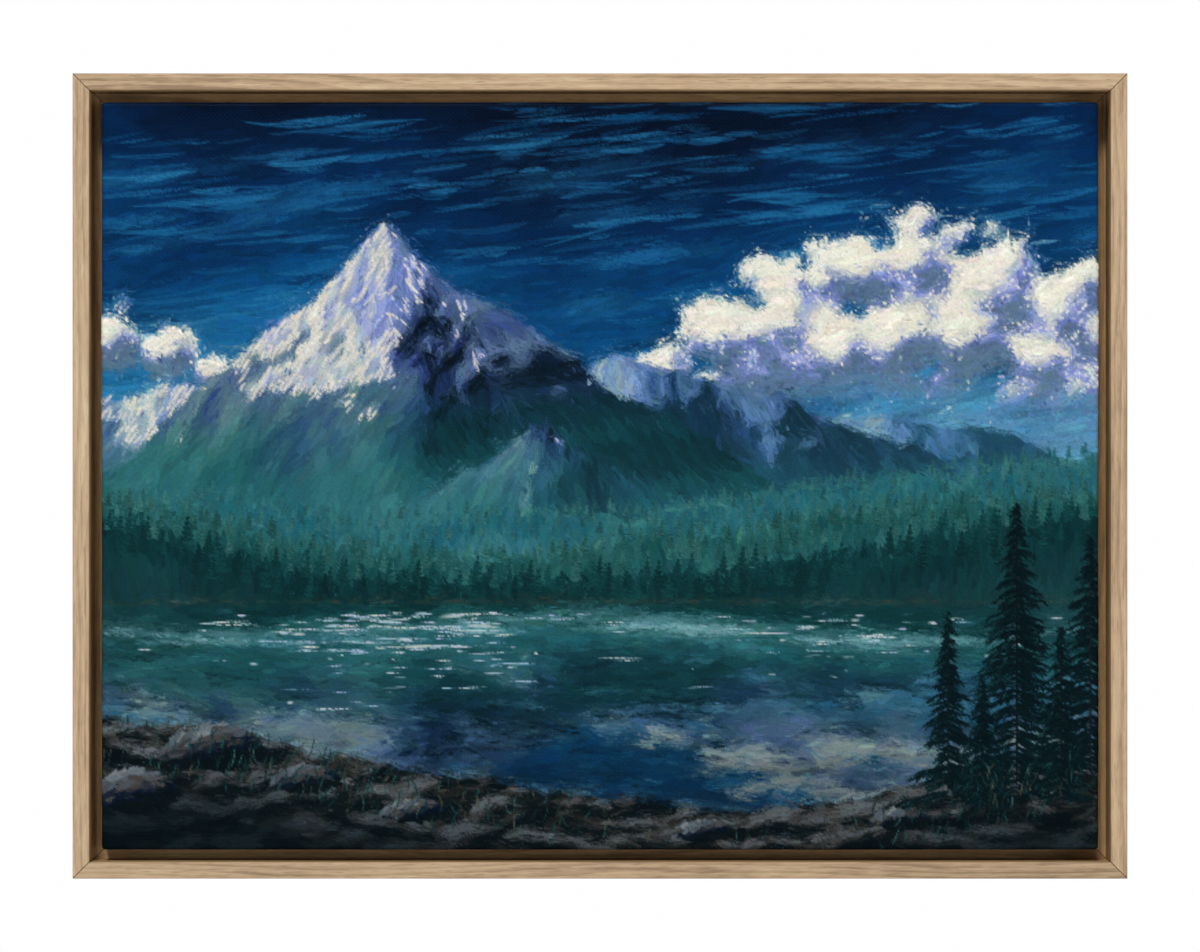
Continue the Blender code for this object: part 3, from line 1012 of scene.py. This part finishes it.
def oil_paint(weave):
    """Dried oils. Where the film is thin the weave shows through it, with painted shade in the valleys
    between the threads, and where it is thick it shines.
    """
    material, tree, surface = new_material("oil_paint", Specular_IOR_Level=0.03)
    place = held(tree, "cloth_place")
    paint = held(tree, "paint", "Color")
    coat = add_node(tree, "ShaderNodeSeparateColor", {"Color": held(tree, "coat", "Color")}).outputs
    body, gloss, primed = coat["Red"], coat["Green"], coat["Blue"]
    threads = woven(tree, weave, place)
    thin = between(tree, body, 0.04, 0.3, 1.0, 0.12)
    grit = noise(tree, place, 2600, 3, 0.6)
    # Painted shade: the colour is darkened in the weave's valleys where the film is thin
    weave_valley_shade = times(tree, minus(tree, 0.7, threads), thin)
    valley_shaded = blended(tree, times(tree, weave_valley_shade, 0.24, clamp=True), paint, (0, 0, 0, 1))
    mottled = blended(tree, between(tree, grit, 0.35, 0.7, 0.0, 0.12), valley_shaded, (1, 1, 1, 1), "SOFT_LIGHT")
    rough = plus(tree, between(tree, gloss, 0.0, 1.0, 0.54, 0.3), times(tree, primed, 0.3))
    height = plus(tree, times(tree, threads, thin), times(tree, grit, 0.5))
    finish(tree, surface, mottled, height, 0.55, 0.00018, rough)
    return material


def primed_cloth(weave):
    """The white priming on the cloth's outer side, with painted shade in the valleys of the weave."""
    material, tree, surface = new_material("primed_cloth", Roughness=0.85, Specular_IOR_Level=0.2)
    place = held(tree, "cloth_place")
    threads = woven(tree, weave, place)
    clean = ramp(tree, noise(tree, place, 60, 4), ((0.3, shade(214, 208, 194)), (0.65, shade(234, 230, 220))))
    # Painted shade: darker in the valleys between the threads
    depth = between(tree, threads, 0.2, 0.9, 0.3, 0.0)
    finish(tree, surface, blended(tree, depth, clean, shade(176, 168, 150)), threads, 0.7, 0.0002)
    return material


def raw_cloth(weave):
    """The unprimed cotton, seen from behind, with stains and with painted shade in the valleys of the weave.
    """
    material, tree, surface = new_material(
        "raw_cloth", Roughness=0.92, Specular_IOR_Level=0.15, Sheen_Weight=0.15
    )
    place = held(tree, "cloth_place")
    threads = woven(tree, weave, place)
    runs = (30, 900, 1), (900, 30, 1)
    slubs = [times(tree, noise(tree, stretched(tree, place, run), 1, 2), 0.5) for run in runs]
    yarn = ramp(tree, plus(tree, *slubs), ((0.3, shade(184, 166, 136)), (0.7, shade(214, 200, 172))))
    patches = between(tree, noise(tree, place, 14, 4), 0.45, 0.75, 0.0, 0.3)
    stained = blended(tree, patches, yarn, shade(168, 148, 116))
    # Painted shade: darker in the valleys between the threads
    depth = between(tree, threads, 0.1, 0.9, 0.5, 0.0)
    finish(tree, surface, blended(tree, depth, stained, shade(128, 110, 84)), threads, 0.8, 0.0003)
    return material


def plated_steel():
    material, tree, surface = new_material("plated_steel", Metallic=1.0)
    place = own_place(tree)
    patches = noise(tree, place, 700, 4)
    colour = ramp(tree, patches, ((0.3, shade(150, 150, 146)), (0.7, shade(204, 204, 198))))
    rough = between(tree, patches, 0.3, 0.7, 0.42, 0.26)
    finish(tree, surface, colour, noise(tree, place, 3000, 2), 0.2, 0.00003, rough)
    return material


def mitre_glue_and_shade():
    """The dark brown line where two rails meet: glue in the joint, made darker as painted shade of the joint.
    """
    material, tree, surface = new_material("mitre_glue_and_shade", Roughness=0.6, Specular_IOR_Level=0.3)
    place = own_place(tree)
    colour = ramp(tree, noise(tree, place, 500, 3), ((0.3, shade(58, 42, 28)), (0.7, shade(96, 72, 48))))
    finish(tree, surface, colour, noise(tree, place, 1500, 2), 0.3, 0.0001)
    return material


# Meshes


def smooth(mesh, below):
    """Shades a mesh smooth wherever its faces meet at less than that many degrees."""
    mesh.shade_smooth()
    mesh.set_sharp_from_angle(angle=math.radians(below))


def mesh_of(name, built, smooth_below=None):
    """A mesh of what was built, its faces turned outwards."""
    bmesh.ops.recalc_face_normals(built, faces=built.faces)
    mesh = bpy.data.meshes.new(name)
    built.to_mesh(mesh)
    built.free()
    if smooth_below is not None:
        smooth(mesh, smooth_below)
    return mesh


def bridge(built, first, second):
    """A strip of faces between two closed rings."""
    for index in range(len(first)):
        following = (index + 1) % len(first)
        built.faces.new((first[index], first[following], second[following], second[index]))


def note_places(mesh, places):
    """Each point's place on the flat cloth, which the weave follows."""
    attribute = mesh.attributes.new("cloth_place", "FLOAT_VECTOR", "POINT")
    attribute.data.foreach_set("vector", places.astype(np.float32).ravel())


# The paint film


def wrapped_round_bars(across, down):
    """Where places of the flat cloth lie once it is stretched over the bars, and which way they face."""
    over_x = np.maximum(np.abs(across) - FLAT_HALF_WIDTH, 0)
    over_z = np.maximum(np.abs(down) - FLAT_HALF_HEIGHT, 0)
    travel = np.maximum(over_x, over_z)
    size = np.maximum(np.hypot(over_x, over_z), 1e-9)
    out_x = np.sign(across) * over_x / size
    out_z = -np.sign(down) * over_z / size
    turn = np.minimum(travel / CLOTH_EDGE_RADIUS, math.pi / 2)
    out = CLOTH_EDGE_RADIUS * np.sin(turn)
    depth = CLOTH_EDGE_RADIUS * (1 - np.cos(turn)) + np.maximum(travel - EDGE_ARC, 0)
    x = np.clip(across, -FLAT_HALF_WIDTH, FLAT_HALF_WIDTH) + out_x * out
    z = CENTRE_HEIGHT - np.clip(down, -FLAT_HALF_HEIGHT, FLAT_HALF_HEIGHT) + out_z * out
    facing = np.stack((out_x * np.sin(turn), -np.cos(turn), out_z * np.sin(turn)), -1)
    return np.stack((x, CANVAS_FACE + depth, z), -1), facing, travel


def film_line(count, reach):
    """Places of the film's columns or rows: close together over the picture, far apart down the sides."""
    side = np.linspace(0, SIDE_LENGTH, SIDE_STEPS + 1)[1:]
    return np.concatenate((-reach - side[::-1], np.linspace(-reach, reach, count), reach + side))


def down_the_sides(layer):
    """A layer of the board with its edges carried on over the canvas's sides."""
    return np.pad(layer, [(SIDE_STEPS, SIDE_STEPS)] * 2 + [(0, 0)] * (layer.ndim - 2), mode="edge")


class Film:
    """The dried paint as one field of places, colours and normals, from which the bands are cut."""

    def __init__(self, board):
        across = film_line(board.columns, FLAT_HALF_WIDTH + EDGE_ARC)
        down = film_line(board.rows, FLAT_HALF_HEIGHT + EDGE_ARC)
        self.across, self.down = np.meshgrid(across, down)
        place, facing, travel = wrapped_round_bars(self.across, self.down)
        body, gloss, colour = (down_the_sides(layer) for layer in (board.body, board.gloss, board.colour))
        colour = linear(colour / 255) ** DRIED_DARKER
        ragged = RAGGED_EDGE * np.sin(self.across * 310) * np.cos(self.down * 270)
        primed = np.clip((travel - EDGE_ARC - PAINTED_SIDE + ragged) / PRIMING_FADE, 0, 1)
        side = np.clip((travel - EDGE_ARC) / SHADE_FADE, 0, 1)[..., None]
        colour = colour * (1 - SIDE_SHADE * side)
        self.colour = colour + primed[..., None] * (linear((0.86, 0.84, 0.79)) - colour)
        body = np.where(travel > EDGE_ARC, 0.25 * body, body) * (1 - 0.8 * primed)
        self.coat = np.stack((body, gloss, primed), -1)
        self.under = place + facing * FILM_LIFT
        self.top = self.under + facing * ((body + LEAST_BODY) * MM)[..., None]
        normals = np.cross(np.gradient(self.top, axis=0), np.gradient(self.top, axis=1))
        self.normals = normals / np.linalg.norm(normals, axis=-1, keepdims=True)
        self.rows, self.columns = body.shape
        steps = np.nonzero(np.abs(down) > FLAT_HALF_HEIGHT)[0]
        self.turned_rows = set(steps.tolist())

    def band(self, name, first, last):
        """A closed band of the film between two rows: the painted top, a plain underside, and edges."""
        rows = np.arange(first, last + 1)
        keys = [row for row in rows.tolist() if row in (first, last) or row in self.turned_rows]
        columns = self.columns
        top = np.arange(len(rows) * columns).reshape(len(rows), columns)
        under = len(rows) * columns + np.arange(len(keys) * columns).reshape(len(keys), columns)
        top_faces = np.stack((top[:-1, :-1], top[1:, :-1], top[1:, 1:], top[:-1, 1:]), -1).reshape(-1, 4)
        under_faces = np.stack(
            (under[:-1, :-1], under[:-1, 1:], under[1:, 1:], under[1:, :-1]), -1
        ).reshape(-1, 4)
        upper_edge = np.stack((top[0, :-1], top[0, 1:], under[0, 1:], under[0, :-1]), -1)
        lower_edge = np.stack((top[-1, 1:], top[-1, :-1], under[-1, :-1], under[-1, 1:]), -1)
        faces = np.concatenate((top_faces, under_faces, upper_edge, lower_edge)).tolist()
        for index, (start, end) in enumerate(zip(keys[:-1], keys[1:])):
            run = top[start - first : end - first + 1]
            faces.append([*run[:, 0][::-1].tolist(), int(under[index, 0]), int(under[index + 1, 0])])
            faces.append([*run[:, -1].tolist(), int(under[index + 1, -1]), int(under[index, -1])])
        mesh = bpy.data.meshes.new(name)

        def both(above, below=None):
            parts = above[rows], (above if below is None else below)[keys]
            return np.concatenate([part.reshape(-1, part.shape[-1]) for part in parts])

        mesh.from_pydata(both(self.top, self.under).tolist(), [], faces)
        self.paint_on(mesh, both, top_faces)
        mesh.shade_smooth()
        mesh.normals_split_custom_set_from_vertices(both(self.normals))
        return mesh

    def paint_on(self, mesh, both, top_faces):
        """The colours, the coat, the place on the cloth, and a flat map that the finish can be baked to."""
        opaque = np.ones((self.rows, self.columns, 1))
        for name, field in (("paint", self.colour), ("coat", self.coat)):
            held_colours = both(np.concatenate((field, opaque), -1)).astype(np.float32)
            attribute = mesh.color_attributes.new(name, "FLOAT_COLOR", "POINT")
            attribute.data.foreach_set("color", held_colours.ravel())
        cloth = both(np.stack((self.across, self.down, np.zeros_like(self.across)), -1)).astype(np.float32)
        note_places(mesh, cloth)
        flat = cloth[:, :2]
        low, high = flat.min(0), flat.max(0)
        flat = (flat - low) / (high - low)
        vertex_of_loop = np.empty(len(mesh.loops), np.int32)
        mesh.loops.foreach_get("vertex_index", vertex_of_loop)
        unwrapped = flat[vertex_of_loop]
        # The painted top takes all but the map's lowest hundredth, which is left to the hidden faces
        unwrapped[:, 1] = 1 - unwrapped[:, 1] * 0.99
        unwrapped[len(top_faces) * 4 :, 1] *= 0.008
        layer = mesh.uv_layers.new(name="OFBake")
        layer.uv.foreach_set("vector", unwrapped.astype(np.float32).ravel())


# Each band, and how far down the picture it reaches
FILM_BANDS = (
    ("paint_film_high_sky", 0.19), ("paint_film_peaks", 0.4), ("paint_film_foothills", 0.6),
    ("paint_film_lake", 0.81), ("paint_film_bank", 1.0),
)


def lay_the_film(board, paint):
    """The film in five bands, because one mesh as fine as the brushwork would be too heavy."""
    film = Film(board)
    first = 0
    for name, share in FILM_BANDS:
        last = round(share * (film.rows - 1))
        piece = new_piece(name, film.band(name, first, last), [paint])
        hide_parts("canvas")
        first = last


# The cloth


def cloth_ring(outset, y, point_step=0.006):
    """Points round the canvas at one depth, outset from the flat's edge."""
    radius = max(outset, LEAST_CORNER)
    half_x = FLAT_HALF_WIDTH + min(outset, 0)
    half_z = FLAT_HALF_HEIGHT + min(outset, 0)
    corners = ((1, 1, 0), (-1, 1, 90), (-1, -1, 180), (1, -1, 270))
    points = []

    def round_corner(side_x, side_z, degrees):
        turn = math.radians(degrees)
        return side_x * half_x + radius * math.cos(turn), side_z * half_z + radius * math.sin(turn)

    for index, (side_x, side_z, start) in enumerate(corners):
        points += [round_corner(side_x, side_z, start + 30 * step) for step in range(4)]
        next_x, next_z, _ = corners[(index + 1) % 4]
        begin, end = points[-1], round_corner(next_x, next_z, start + 90)
        long = 2 * (FLAT_HALF_WIDTH if index % 2 == 0 else FLAT_HALF_HEIGHT)
        steps = round(long / point_step)
        for step in range(1, steps):
            share = step / steps
            points.append((begin[0] + (end[0] - begin[0]) * share, begin[1] + (end[1] - begin[1]) * share))
    return [Vector((x, y, CENTRE_HEIGHT + z)) for x, z in points]


def cloth_mesh(random):
    """The outer side of the stretched cloth: the front, the sides, and the flaps turned over the back."""
    radius = CLOTH_EDGE_RADIUS
    turns = [math.pi / 6 * step for step in range(4)]
    profile = [(radius * math.sin(turn), CANVAS_FACE + radius * (1 - math.cos(turn))) for turn in turns]
    profile += [(radius, CANVAS_FACE + (CANVAS_BACK - CANVAS_FACE) * share) for share in (0.3, 0.5, 0.7)]
    profile += [(radius * math.cos(turn), CANVAS_BACK - radius * (1 - math.sin(turn))) for turn in turns]
    flap_end = CLOTH_EDGE_RADIUS - CLOTH_FLAP_WIDTH
    profile += [(flap_end * share, CANVAS_BACK) for share in (0.2, 0.4, 0.6, 0.8, 0.93, 1.0)]
    built = bmesh.new()
    rings = [[built.verts.new(point) for point in cloth_ring(outset, y)] for outset, y in profile]
    count = len(rings[0])
    middle = Vector((0, CANVAS_BACK, CENTRE_HEIGHT))
    fray = np.repeat(random.normal(0, FRAY, count // 2 + 1), 2)[:count]
    fray = fray + random.normal(0, FINE_FRAY, count)
    for vertex, ragged in zip(rings[-1], fray):
        vertex.co += (vertex.co - middle).normalized() * ragged
    built.faces.new(reversed(rings[0]))
    for outer, inner in zip(rings[:-1], rings[1:]):
        bridge(built, outer, inner)
    built.normal_update()
    return mesh_of("cloth", built)


def mark_cloth_places(mesh):
    """Each point's place in metres for the weave: across and down, with the sides' depth rolled out."""
    places = np.empty(len(mesh.vertices) * 3)
    mesh.vertices.foreach_get("co", places)
    places = places.reshape(-1, 3)
    depth = places[:, 1] - CANVAS_FACE
    rolled = np.stack((
        places[:, 0] + np.sign(places[:, 0]) * depth * (np.abs(places[:, 0]) > FLAT_HALF_WIDTH),
        CENTRE_HEIGHT - places[:, 2] - np.sign(places[:, 2] - CENTRE_HEIGHT) * depth
        * (np.abs(places[:, 2] - CENTRE_HEIGHT) > FLAT_HALF_HEIGHT),
        np.zeros(len(places)),
    ), -1)
    note_places(mesh, rolled)


def applied(piece):
    """The piece's mesh with its modifiers applied."""
    evaluated = piece.evaluated_get(bpy.context.evaluated_depsgraph_get())
    mesh = bpy.data.meshes.new_from_object(evaluated)
    piece.modifiers.clear()
    piece.data = mesh
    return mesh


def stretch_the_cloth(primed, raw, random):
    cloth = new_piece("cloth", cloth_mesh(random), [primed, raw])
    thicken = cloth.modifiers.new("thickness", "SOLIDIFY")
    thicken.thickness = CLOTH_THICKNESS
    thicken.offset = -1
    thicken.use_even_offset = True
    thicken.material_offset = 1
    thicken.material_offset_rim = 1
    mesh = applied(cloth)
    mark_cloth_places(mesh)
    smooth(mesh, 40)
    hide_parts("canvas")
    return cloth


# The corner folds, in metres
FOLD_START = 0.003
FOLD_SHORT_OF_EDGE = 0.0008
FOLD_REACH = 0.021
FOLD_OFF_MITRE = 0.0003
FOLD_HEIGHT = 0.0009
FOLD_LEAST_HEIGHT = 0.00015
FOLD_LIFT = 0.00003
FREE_OF_LEDGE = LEDGE_BEARING + 0.0006
FREED_OVER = 0.0022


def corner_fold(name, side_x, side_z, primed, raw):
    """The tuck at one corner: a triangle of doubled cloth along the mitre, thin where the ledge covers it."""
    rows, columns = 16, 8
    built = bmesh.new()

    def layer(is_top):
        grid = []
        for row in range(rows + 1):
            inset = FOLD_START + (CLOTH_FLAP_WIDTH - FOLD_START - FOLD_SHORT_OF_EDGE) * row / rows
            width = FOLD_REACH * (0.25 + 0.75 * row / rows)
            free = min(1, max(0, (inset - FREE_OF_LEDGE) / FREED_OVER))
            line = []
            for column in range(columns + 1):
                along = column / columns
                z_inset = inset + width * along + FOLD_OFF_MITRE
                rounded = math.sin(math.pi / 2 * min(1, along * 6 + 0.3)) * (1 - 0.75 * along**2)
                height = FOLD_LEAST_HEIGHT + FOLD_HEIGHT * free * rounded if is_top else FOLD_LIFT
                line.append(built.verts.new((
                    side_x * (CANVAS_WIDTH / 2 - inset), CANVAS_BACK + height,
                    CENTRE_HEIGHT + side_z * (CANVAS_HEIGHT / 2 - z_inset),
                )))
            grid.append(line)
        return grid

    top, under = layer(True), layer(False)
    for row in range(rows):
        for column in range(columns):
            places = (row, column), (row + 1, column), (row + 1, column + 1), (row, column + 1)
            built.faces.new([top[down][across] for down, across in places])
            built.faces.new([under[down][across] for down, across in places[:1] + places[:0:-1]])
    border = [(row, 0) for row in range(rows)] + [(rows, column) for column in range(columns)]
    border += [(row, columns) for row in range(rows, 0, -1)]
    border += [(0, column) for column in range(columns, 0, -1)]
    bridge(built, *([grid[row][column] for row, column in border] for grid in (under, top)))
    mesh = mesh_of(name, built, 50)
    mark_cloth_places(mesh)
    return new_piece(name, mesh, [primed, raw])


# Staples and screws, in metres

STAPLE_WIDTH = 0.0105
STAPLE_WIRE = 0.0007
STAPLE_LEG = 0.006
STAPLE_INSET = 0.0182
STAPLE_SPACING = 0.052
BARE_ENDS = 0.07


def staple_mesh():
    """A bent wire: two legs and a crown, on its own axes, with the crown along X and the legs towards -Y."""
    half = STAPLE_WIDTH / 2
    corner = 0.0009
    path = [(-half, -STAPLE_LEG), (-half, -corner)]
    path += [(-half + corner * (1 - math.cos(turn)), -corner + corner * math.sin(turn))
             for turn in (math.pi / 6, math.pi / 3, math.pi / 2)]
    path += [(-x, y) for x, y in reversed(path)]
    built = bmesh.new()
    rings = []
    for index, (x, y) in enumerate(path):
        before = Vector(path[max(index - 1, 0)])
        after = Vector(path[min(index + 1, len(path) - 1)])
        run = (after - before).normalized()
        side = Vector((-run.y, run.x))
        ring = []
        for step in range(8):
            turn = 2 * math.pi * (step + 0.5) / 8
            off = side * math.cos(turn) * STAPLE_WIRE * 0.36
            ring.append(built.verts.new((x + off.x, y + off.y, math.sin(turn) * STAPLE_WIRE * 0.62)))
        rings.append(ring)
    for ring, following in zip(rings[:-1], rings[1:]):
        bridge(built, ring, following)
    built.faces.new(rings[0])
    built.faces.new(rings[-1])
    return mesh_of("staple", built, 40)


def drive_the_staples(steel, random):
    """A row of staples in each flap, evenly spaced about its middle."""
    mesh = staple_mesh()
    rows = (
        ("top", 0, CANVAS_HEIGHT / 2 - STAPLE_INSET, CANVAS_WIDTH, 0),
        ("bottom", 0, STAPLE_INSET - CANVAS_HEIGHT / 2, CANVAS_WIDTH, 0),
        ("left", STAPLE_INSET - CANVAS_WIDTH / 2, 0, CANVAS_HEIGHT, math.pi / 2),
        ("right", CANVAS_WIDTH / 2 - STAPLE_INSET, 0, CANVAS_HEIGHT, math.pi / 2),
    )
    for side, x, z, length, turn in rows:
        count = int((length - BARE_ENDS) / STAPLE_SPACING) + 1
        for index in range(count):
            along = (index - (count - 1) / 2) * STAPLE_SPACING + random.normal(0, 0.002)
            staple = new_piece(f"staple_{side}_{index + 1}", mesh, [steel])
            tilt = turn + random.normal(0, 0.07)
            centre = Vector((
                x + math.cos(turn) * along + random.normal(0, 0.0005), CANVAS_BACK + STAPLE_WIRE * 0.3,
                CENTRE_HEIGHT + z + math.sin(turn) * along + random.normal(0, 0.0005),
            ))
            staple.matrix_world = Matrix.Translation(centre) @ Matrix.Rotation(-tilt, 4, "Y")


SCREW_HEAD_RADIUS = 0.0036
SCREW_SHANK_RADIUS = 0.0017
SCREW_HEAD_DEPTH = 0.0021
SCREW_LENGTH = 0.016
SCREW_SUNK = 0.0002
SCREW_INSET = 0.0176
SCREW_FROM_CORNER = 0.075
THREAD_PITCH = 0.0016
THREAD_ROOT_RADIUS = SCREW_SHANK_RADIUS * 0.72
CROSS_TIP_RADIUS = 0.0009
CROSS_TOP_RADIUS = 0.0029
CROSS_DEPTH = 0.0022
CROSS_LOWERED = 0.0004


def screw_mesh():
    """A countersunk screw with a cross recess, pointing towards -Y, its head's flat top at the origin."""
    built = bmesh.new()
    profile = [(0.0, -SCREW_LENGTH), (0.0006, -SCREW_LENGTH + 0.001)]
    turns = int((SCREW_LENGTH - SCREW_HEAD_DEPTH - 0.003) / THREAD_PITCH)
    for turn in range(turns):
        start = -SCREW_LENGTH + 0.0022 + turn * THREAD_PITCH
        profile += [(THREAD_ROOT_RADIUS, start), (SCREW_SHANK_RADIUS, start + THREAD_PITCH * 0.5),
                    (THREAD_ROOT_RADIUS, start + THREAD_PITCH * 0.8)]
    profile += [(SCREW_SHANK_RADIUS, -SCREW_HEAD_DEPTH), (SCREW_HEAD_RADIUS - 0.0001, -0.0003),
                (SCREW_HEAD_RADIUS, -0.00012), (SCREW_HEAD_RADIUS - 0.00012, 0.0), (0.0, 0.0)]
    vertices = [built.verts.new((radius, y, 0)) for radius, y in profile]
    edges = [built.edges.new(pair) for pair in zip(vertices[:-1], vertices[1:])]
    bmesh.ops.spin(
        built, geom=vertices + edges, cent=(0, 0, 0), axis=(0, 1, 0), angle=2 * math.pi, steps=28,
        use_duplicate=False,
    )
    bmesh.ops.remove_doubles(built, verts=built.verts, dist=0.00001)
    screw = linked("screw_body", mesh_of("screw_body", built))
    built = bmesh.new()
    flattened = Matrix.Scale(0.3, 4, (0, 0, 1)) @ Matrix.Rotation(-math.pi / 2, 4, "X")
    for turn in (0, math.pi / 2):
        slot = bmesh.ops.create_cone(
            built, cap_ends=True, segments=4, radius1=CROSS_TIP_RADIUS, radius2=CROSS_TOP_RADIUS,
            depth=CROSS_DEPTH, matrix=Matrix.Rotation(turn, 4, "Y") @ flattened,
        )
        bmesh.ops.translate(built, verts=slot["verts"], vec=(0, -CROSS_LOWERED, 0))
    cutter = linked("cross_recess", mesh_of("cross_recess", built))
    cut = screw.modifiers.new("recess", "BOOLEAN")
    cut.operation = "DIFFERENCE"
    cut.use_self = True
    cut.object = cutter
    mesh = applied(screw)
    for item in (screw, cutter):
        bpy.data.objects.remove(item)
    smooth(mesh, 30)
    return mesh


def drive_the_screws(steel, random):
    """Two screws through each rail's ledge, which hold the stretched canvas in the frame."""
    mesh = screw_mesh()
    low_left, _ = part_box("frame_left_rail")
    _, high_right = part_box("frame_right_rail")
    half_width = (high_right.x - low_left.x) / 2
    half_height = (high_right.z - low_left.z) / 2
    for side, along_x in (("top", True), ("bottom", True), ("left", False), ("right", False)):
        sign = 1 if side in ("top", "right") else -1
        for index, end in enumerate((-1, 1)):
            if along_x:
                x = end * (half_width - SCREW_FROM_CORNER)
                z = sign * (half_height - SCREW_INSET)
            else:
                x = sign * (half_width - SCREW_INSET)
                z = end * (half_height - SCREW_FROM_CORNER)
            screw = new_piece(f"screw_{side}_{index + 1}", mesh, [steel])
            turned = Matrix.Rotation(random.uniform(0, math.pi), 4, "Y")
            screw.matrix_world = Matrix.Translation((x, -SCREW_SUNK, CENTRE_HEIGHT + z)) @ turned


# The glue in the frame's mitres, its dark colour partly painted shade

GLUE_THICKNESS = 0.00029
GLUE_INSET = 0.00016


def glue_the_mitres(glue):
    """A thin plate of the rails' L section in each corner, just under the wood's surface."""
    low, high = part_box("frame_left_rail")
    corner_x, front = low.x, low.y
    top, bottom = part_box("frame_top_rail")[1].z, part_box("frame_bottom_rail")[0].z
    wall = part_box("frame_top_rail")[1].z - CANVAS_HIGH.z - SHADOW_GAP
    across = high.x - low.x
    inset = GLUE_INSET
    section = (
        (inset, -inset), (inset, front + inset), (wall - inset, front + inset),
        (wall - inset, LEDGE_FRONT + inset), (across - inset, LEDGE_FRONT + inset), (across - inset, -inset),
    )
    for name, side_x, side_z in (
        ("top_left", 1, -1), ("top_right", -1, -1), ("bottom_left", 1, 1), ("bottom_right", -1, 1)
    ):
        start = Vector((corner_x * side_x, 0, top if side_z < 0 else bottom))
        off = Vector((side_x, 0, -side_z)).normalized() * GLUE_THICKNESS / 2
        built = bmesh.new()
        places = [start + Vector((side_x * inward, y, side_z * inward)) for inward, y in section]
        near, far = ([built.verts.new(place + off * sign) for place in places] for sign in (1, -1))
        built.faces.new(near)
        built.faces.new(far)
        bridge(built, near, far)
        new_piece(f"mitre_glue_and_shade_{name}", mesh_of(f"mitre_glue_and_shade_{name}", built), [glue])


# The studio

FLOOR_SIZE = 8
FLOOR_HEIGHT = -0.7
# How brightly the room lights the picture, and how much brighter it is to look at
ROOM_LIGHT = 0.19
ROOM_SEEN = 0.82
# Each light's azimuth and elevation in degrees, its strength, its spread in degrees, and its colour
LIGHTS = {
    "key_light": (-10, 44, 2.12, 14, (1.0, 0.985, 0.96)),
    "left_light": (-42, -6, 0.3, 20, (1.0, 0.99, 0.98)),
    "right_light": (38, -6, 0.6, 20, (0.96, 0.98, 1.0)),
    "back_light": (205, 40, 1.5, 24, (1.0, 0.99, 0.97)),
    "back_fill_light": (125, 30, 1.0, 24, (0.97, 0.98, 1.0)),
}


def soft_sun(name, azimuth, elevation, strength, spread, colour):
    """Even light from far off. Azimuth 0 comes from in front of the picture, and 90 from its right."""
    light = bpy.data.lights.new(name, "SUN")
    light.angle = math.radians(spread)
    light.energy = strength
    light.color = colour
    lamp = linked(name, light)
    turn, lift = math.radians(azimuth), math.radians(elevation)
    towards = Vector((math.sin(turn) * math.cos(lift), -math.cos(turn) * math.cos(lift), math.sin(lift)))
    lamp.rotation_euler = towards.to_track_quat("Z", "Y").to_euler()
    lamp.location = towards * 3


def set_the_studio():
    """A pale room with soft light: a key from above, weak light from both sides, and light for the back."""
    scene = bpy.context.scene
    for name, light in LIGHTS.items():
        soft_sun(name, *light)
    world = bpy.data.worlds.new("studio")
    scene.world = world
    world.use_nodes = True
    tree = world.node_tree
    background = tree.nodes["Background"]
    seen = add_node(tree, "ShaderNodeLightPath").outputs["Is Camera Ray"]
    strength = plus(tree, times(tree, seen, ROOM_SEEN), ROOM_LIGHT)
    background.inputs["Color"].default_value = (0.985, 0.985, 0.988, 1)
    tree.links.new(strength, background.inputs["Strength"])
    scene.view_settings.view_transform = "Standard"
    bpy.ops.mesh.primitive_plane_add(size=FLOOR_SIZE, location=(0, 0, FLOOR_HEIGHT))
    floor = bpy.context.object
    floor.name = "floor"
    material, tree, surface = new_material("floor_paint", Roughness=0.9)
    grain = noise(tree, own_place(tree), 3, 3)
    colour = ramp(tree, grain, ((0.3, shade(226, 226, 226)), (0.7, shade(232, 232, 231))))
    tree.links.new(colour, surface.inputs["Base Color"])
    floor.data.materials.append(material)
    camera_data = bpy.data.cameras.new("camera")
    camera_data.sensor_width = SENSOR_WIDTH
    camera_data.lens = SENSOR_WIDTH * PICTURE_DISTANCE / PHOTOGRAPH_WIDTH
    camera = linked("camera", camera_data)
    camera.location = (0, FRAME_FRONT - PICTURE_DISTANCE, CENTRE_HEIGHT)
    camera.rotation_euler = (math.pi / 2, 0, 0)
    scene.camera = camera


random = np.random.default_rng(23)
weave = weave_group()
steel = plated_steel()
primed = primed_cloth(weave)
raw = raw_cloth(weave)
dress_the_wood((wood_grain_group(), recess_group()))
lay_the_film(painted_board(), oil_paint(weave))
cloth = stretch_the_cloth(primed, raw, random)
folds = [
    corner_fold(f"corner_fold_{high}_{side}", side_x, side_z, primed, raw)
    for high, side_z in (("top", 1), ("bottom", -1))
    for side, side_x in (("left", -1), ("right", 1))
]
drive_the_staples(steel, random)
drive_the_screws(steel, random)
glue_the_mitres(mitre_glue_and_shade())
set_the_studio()
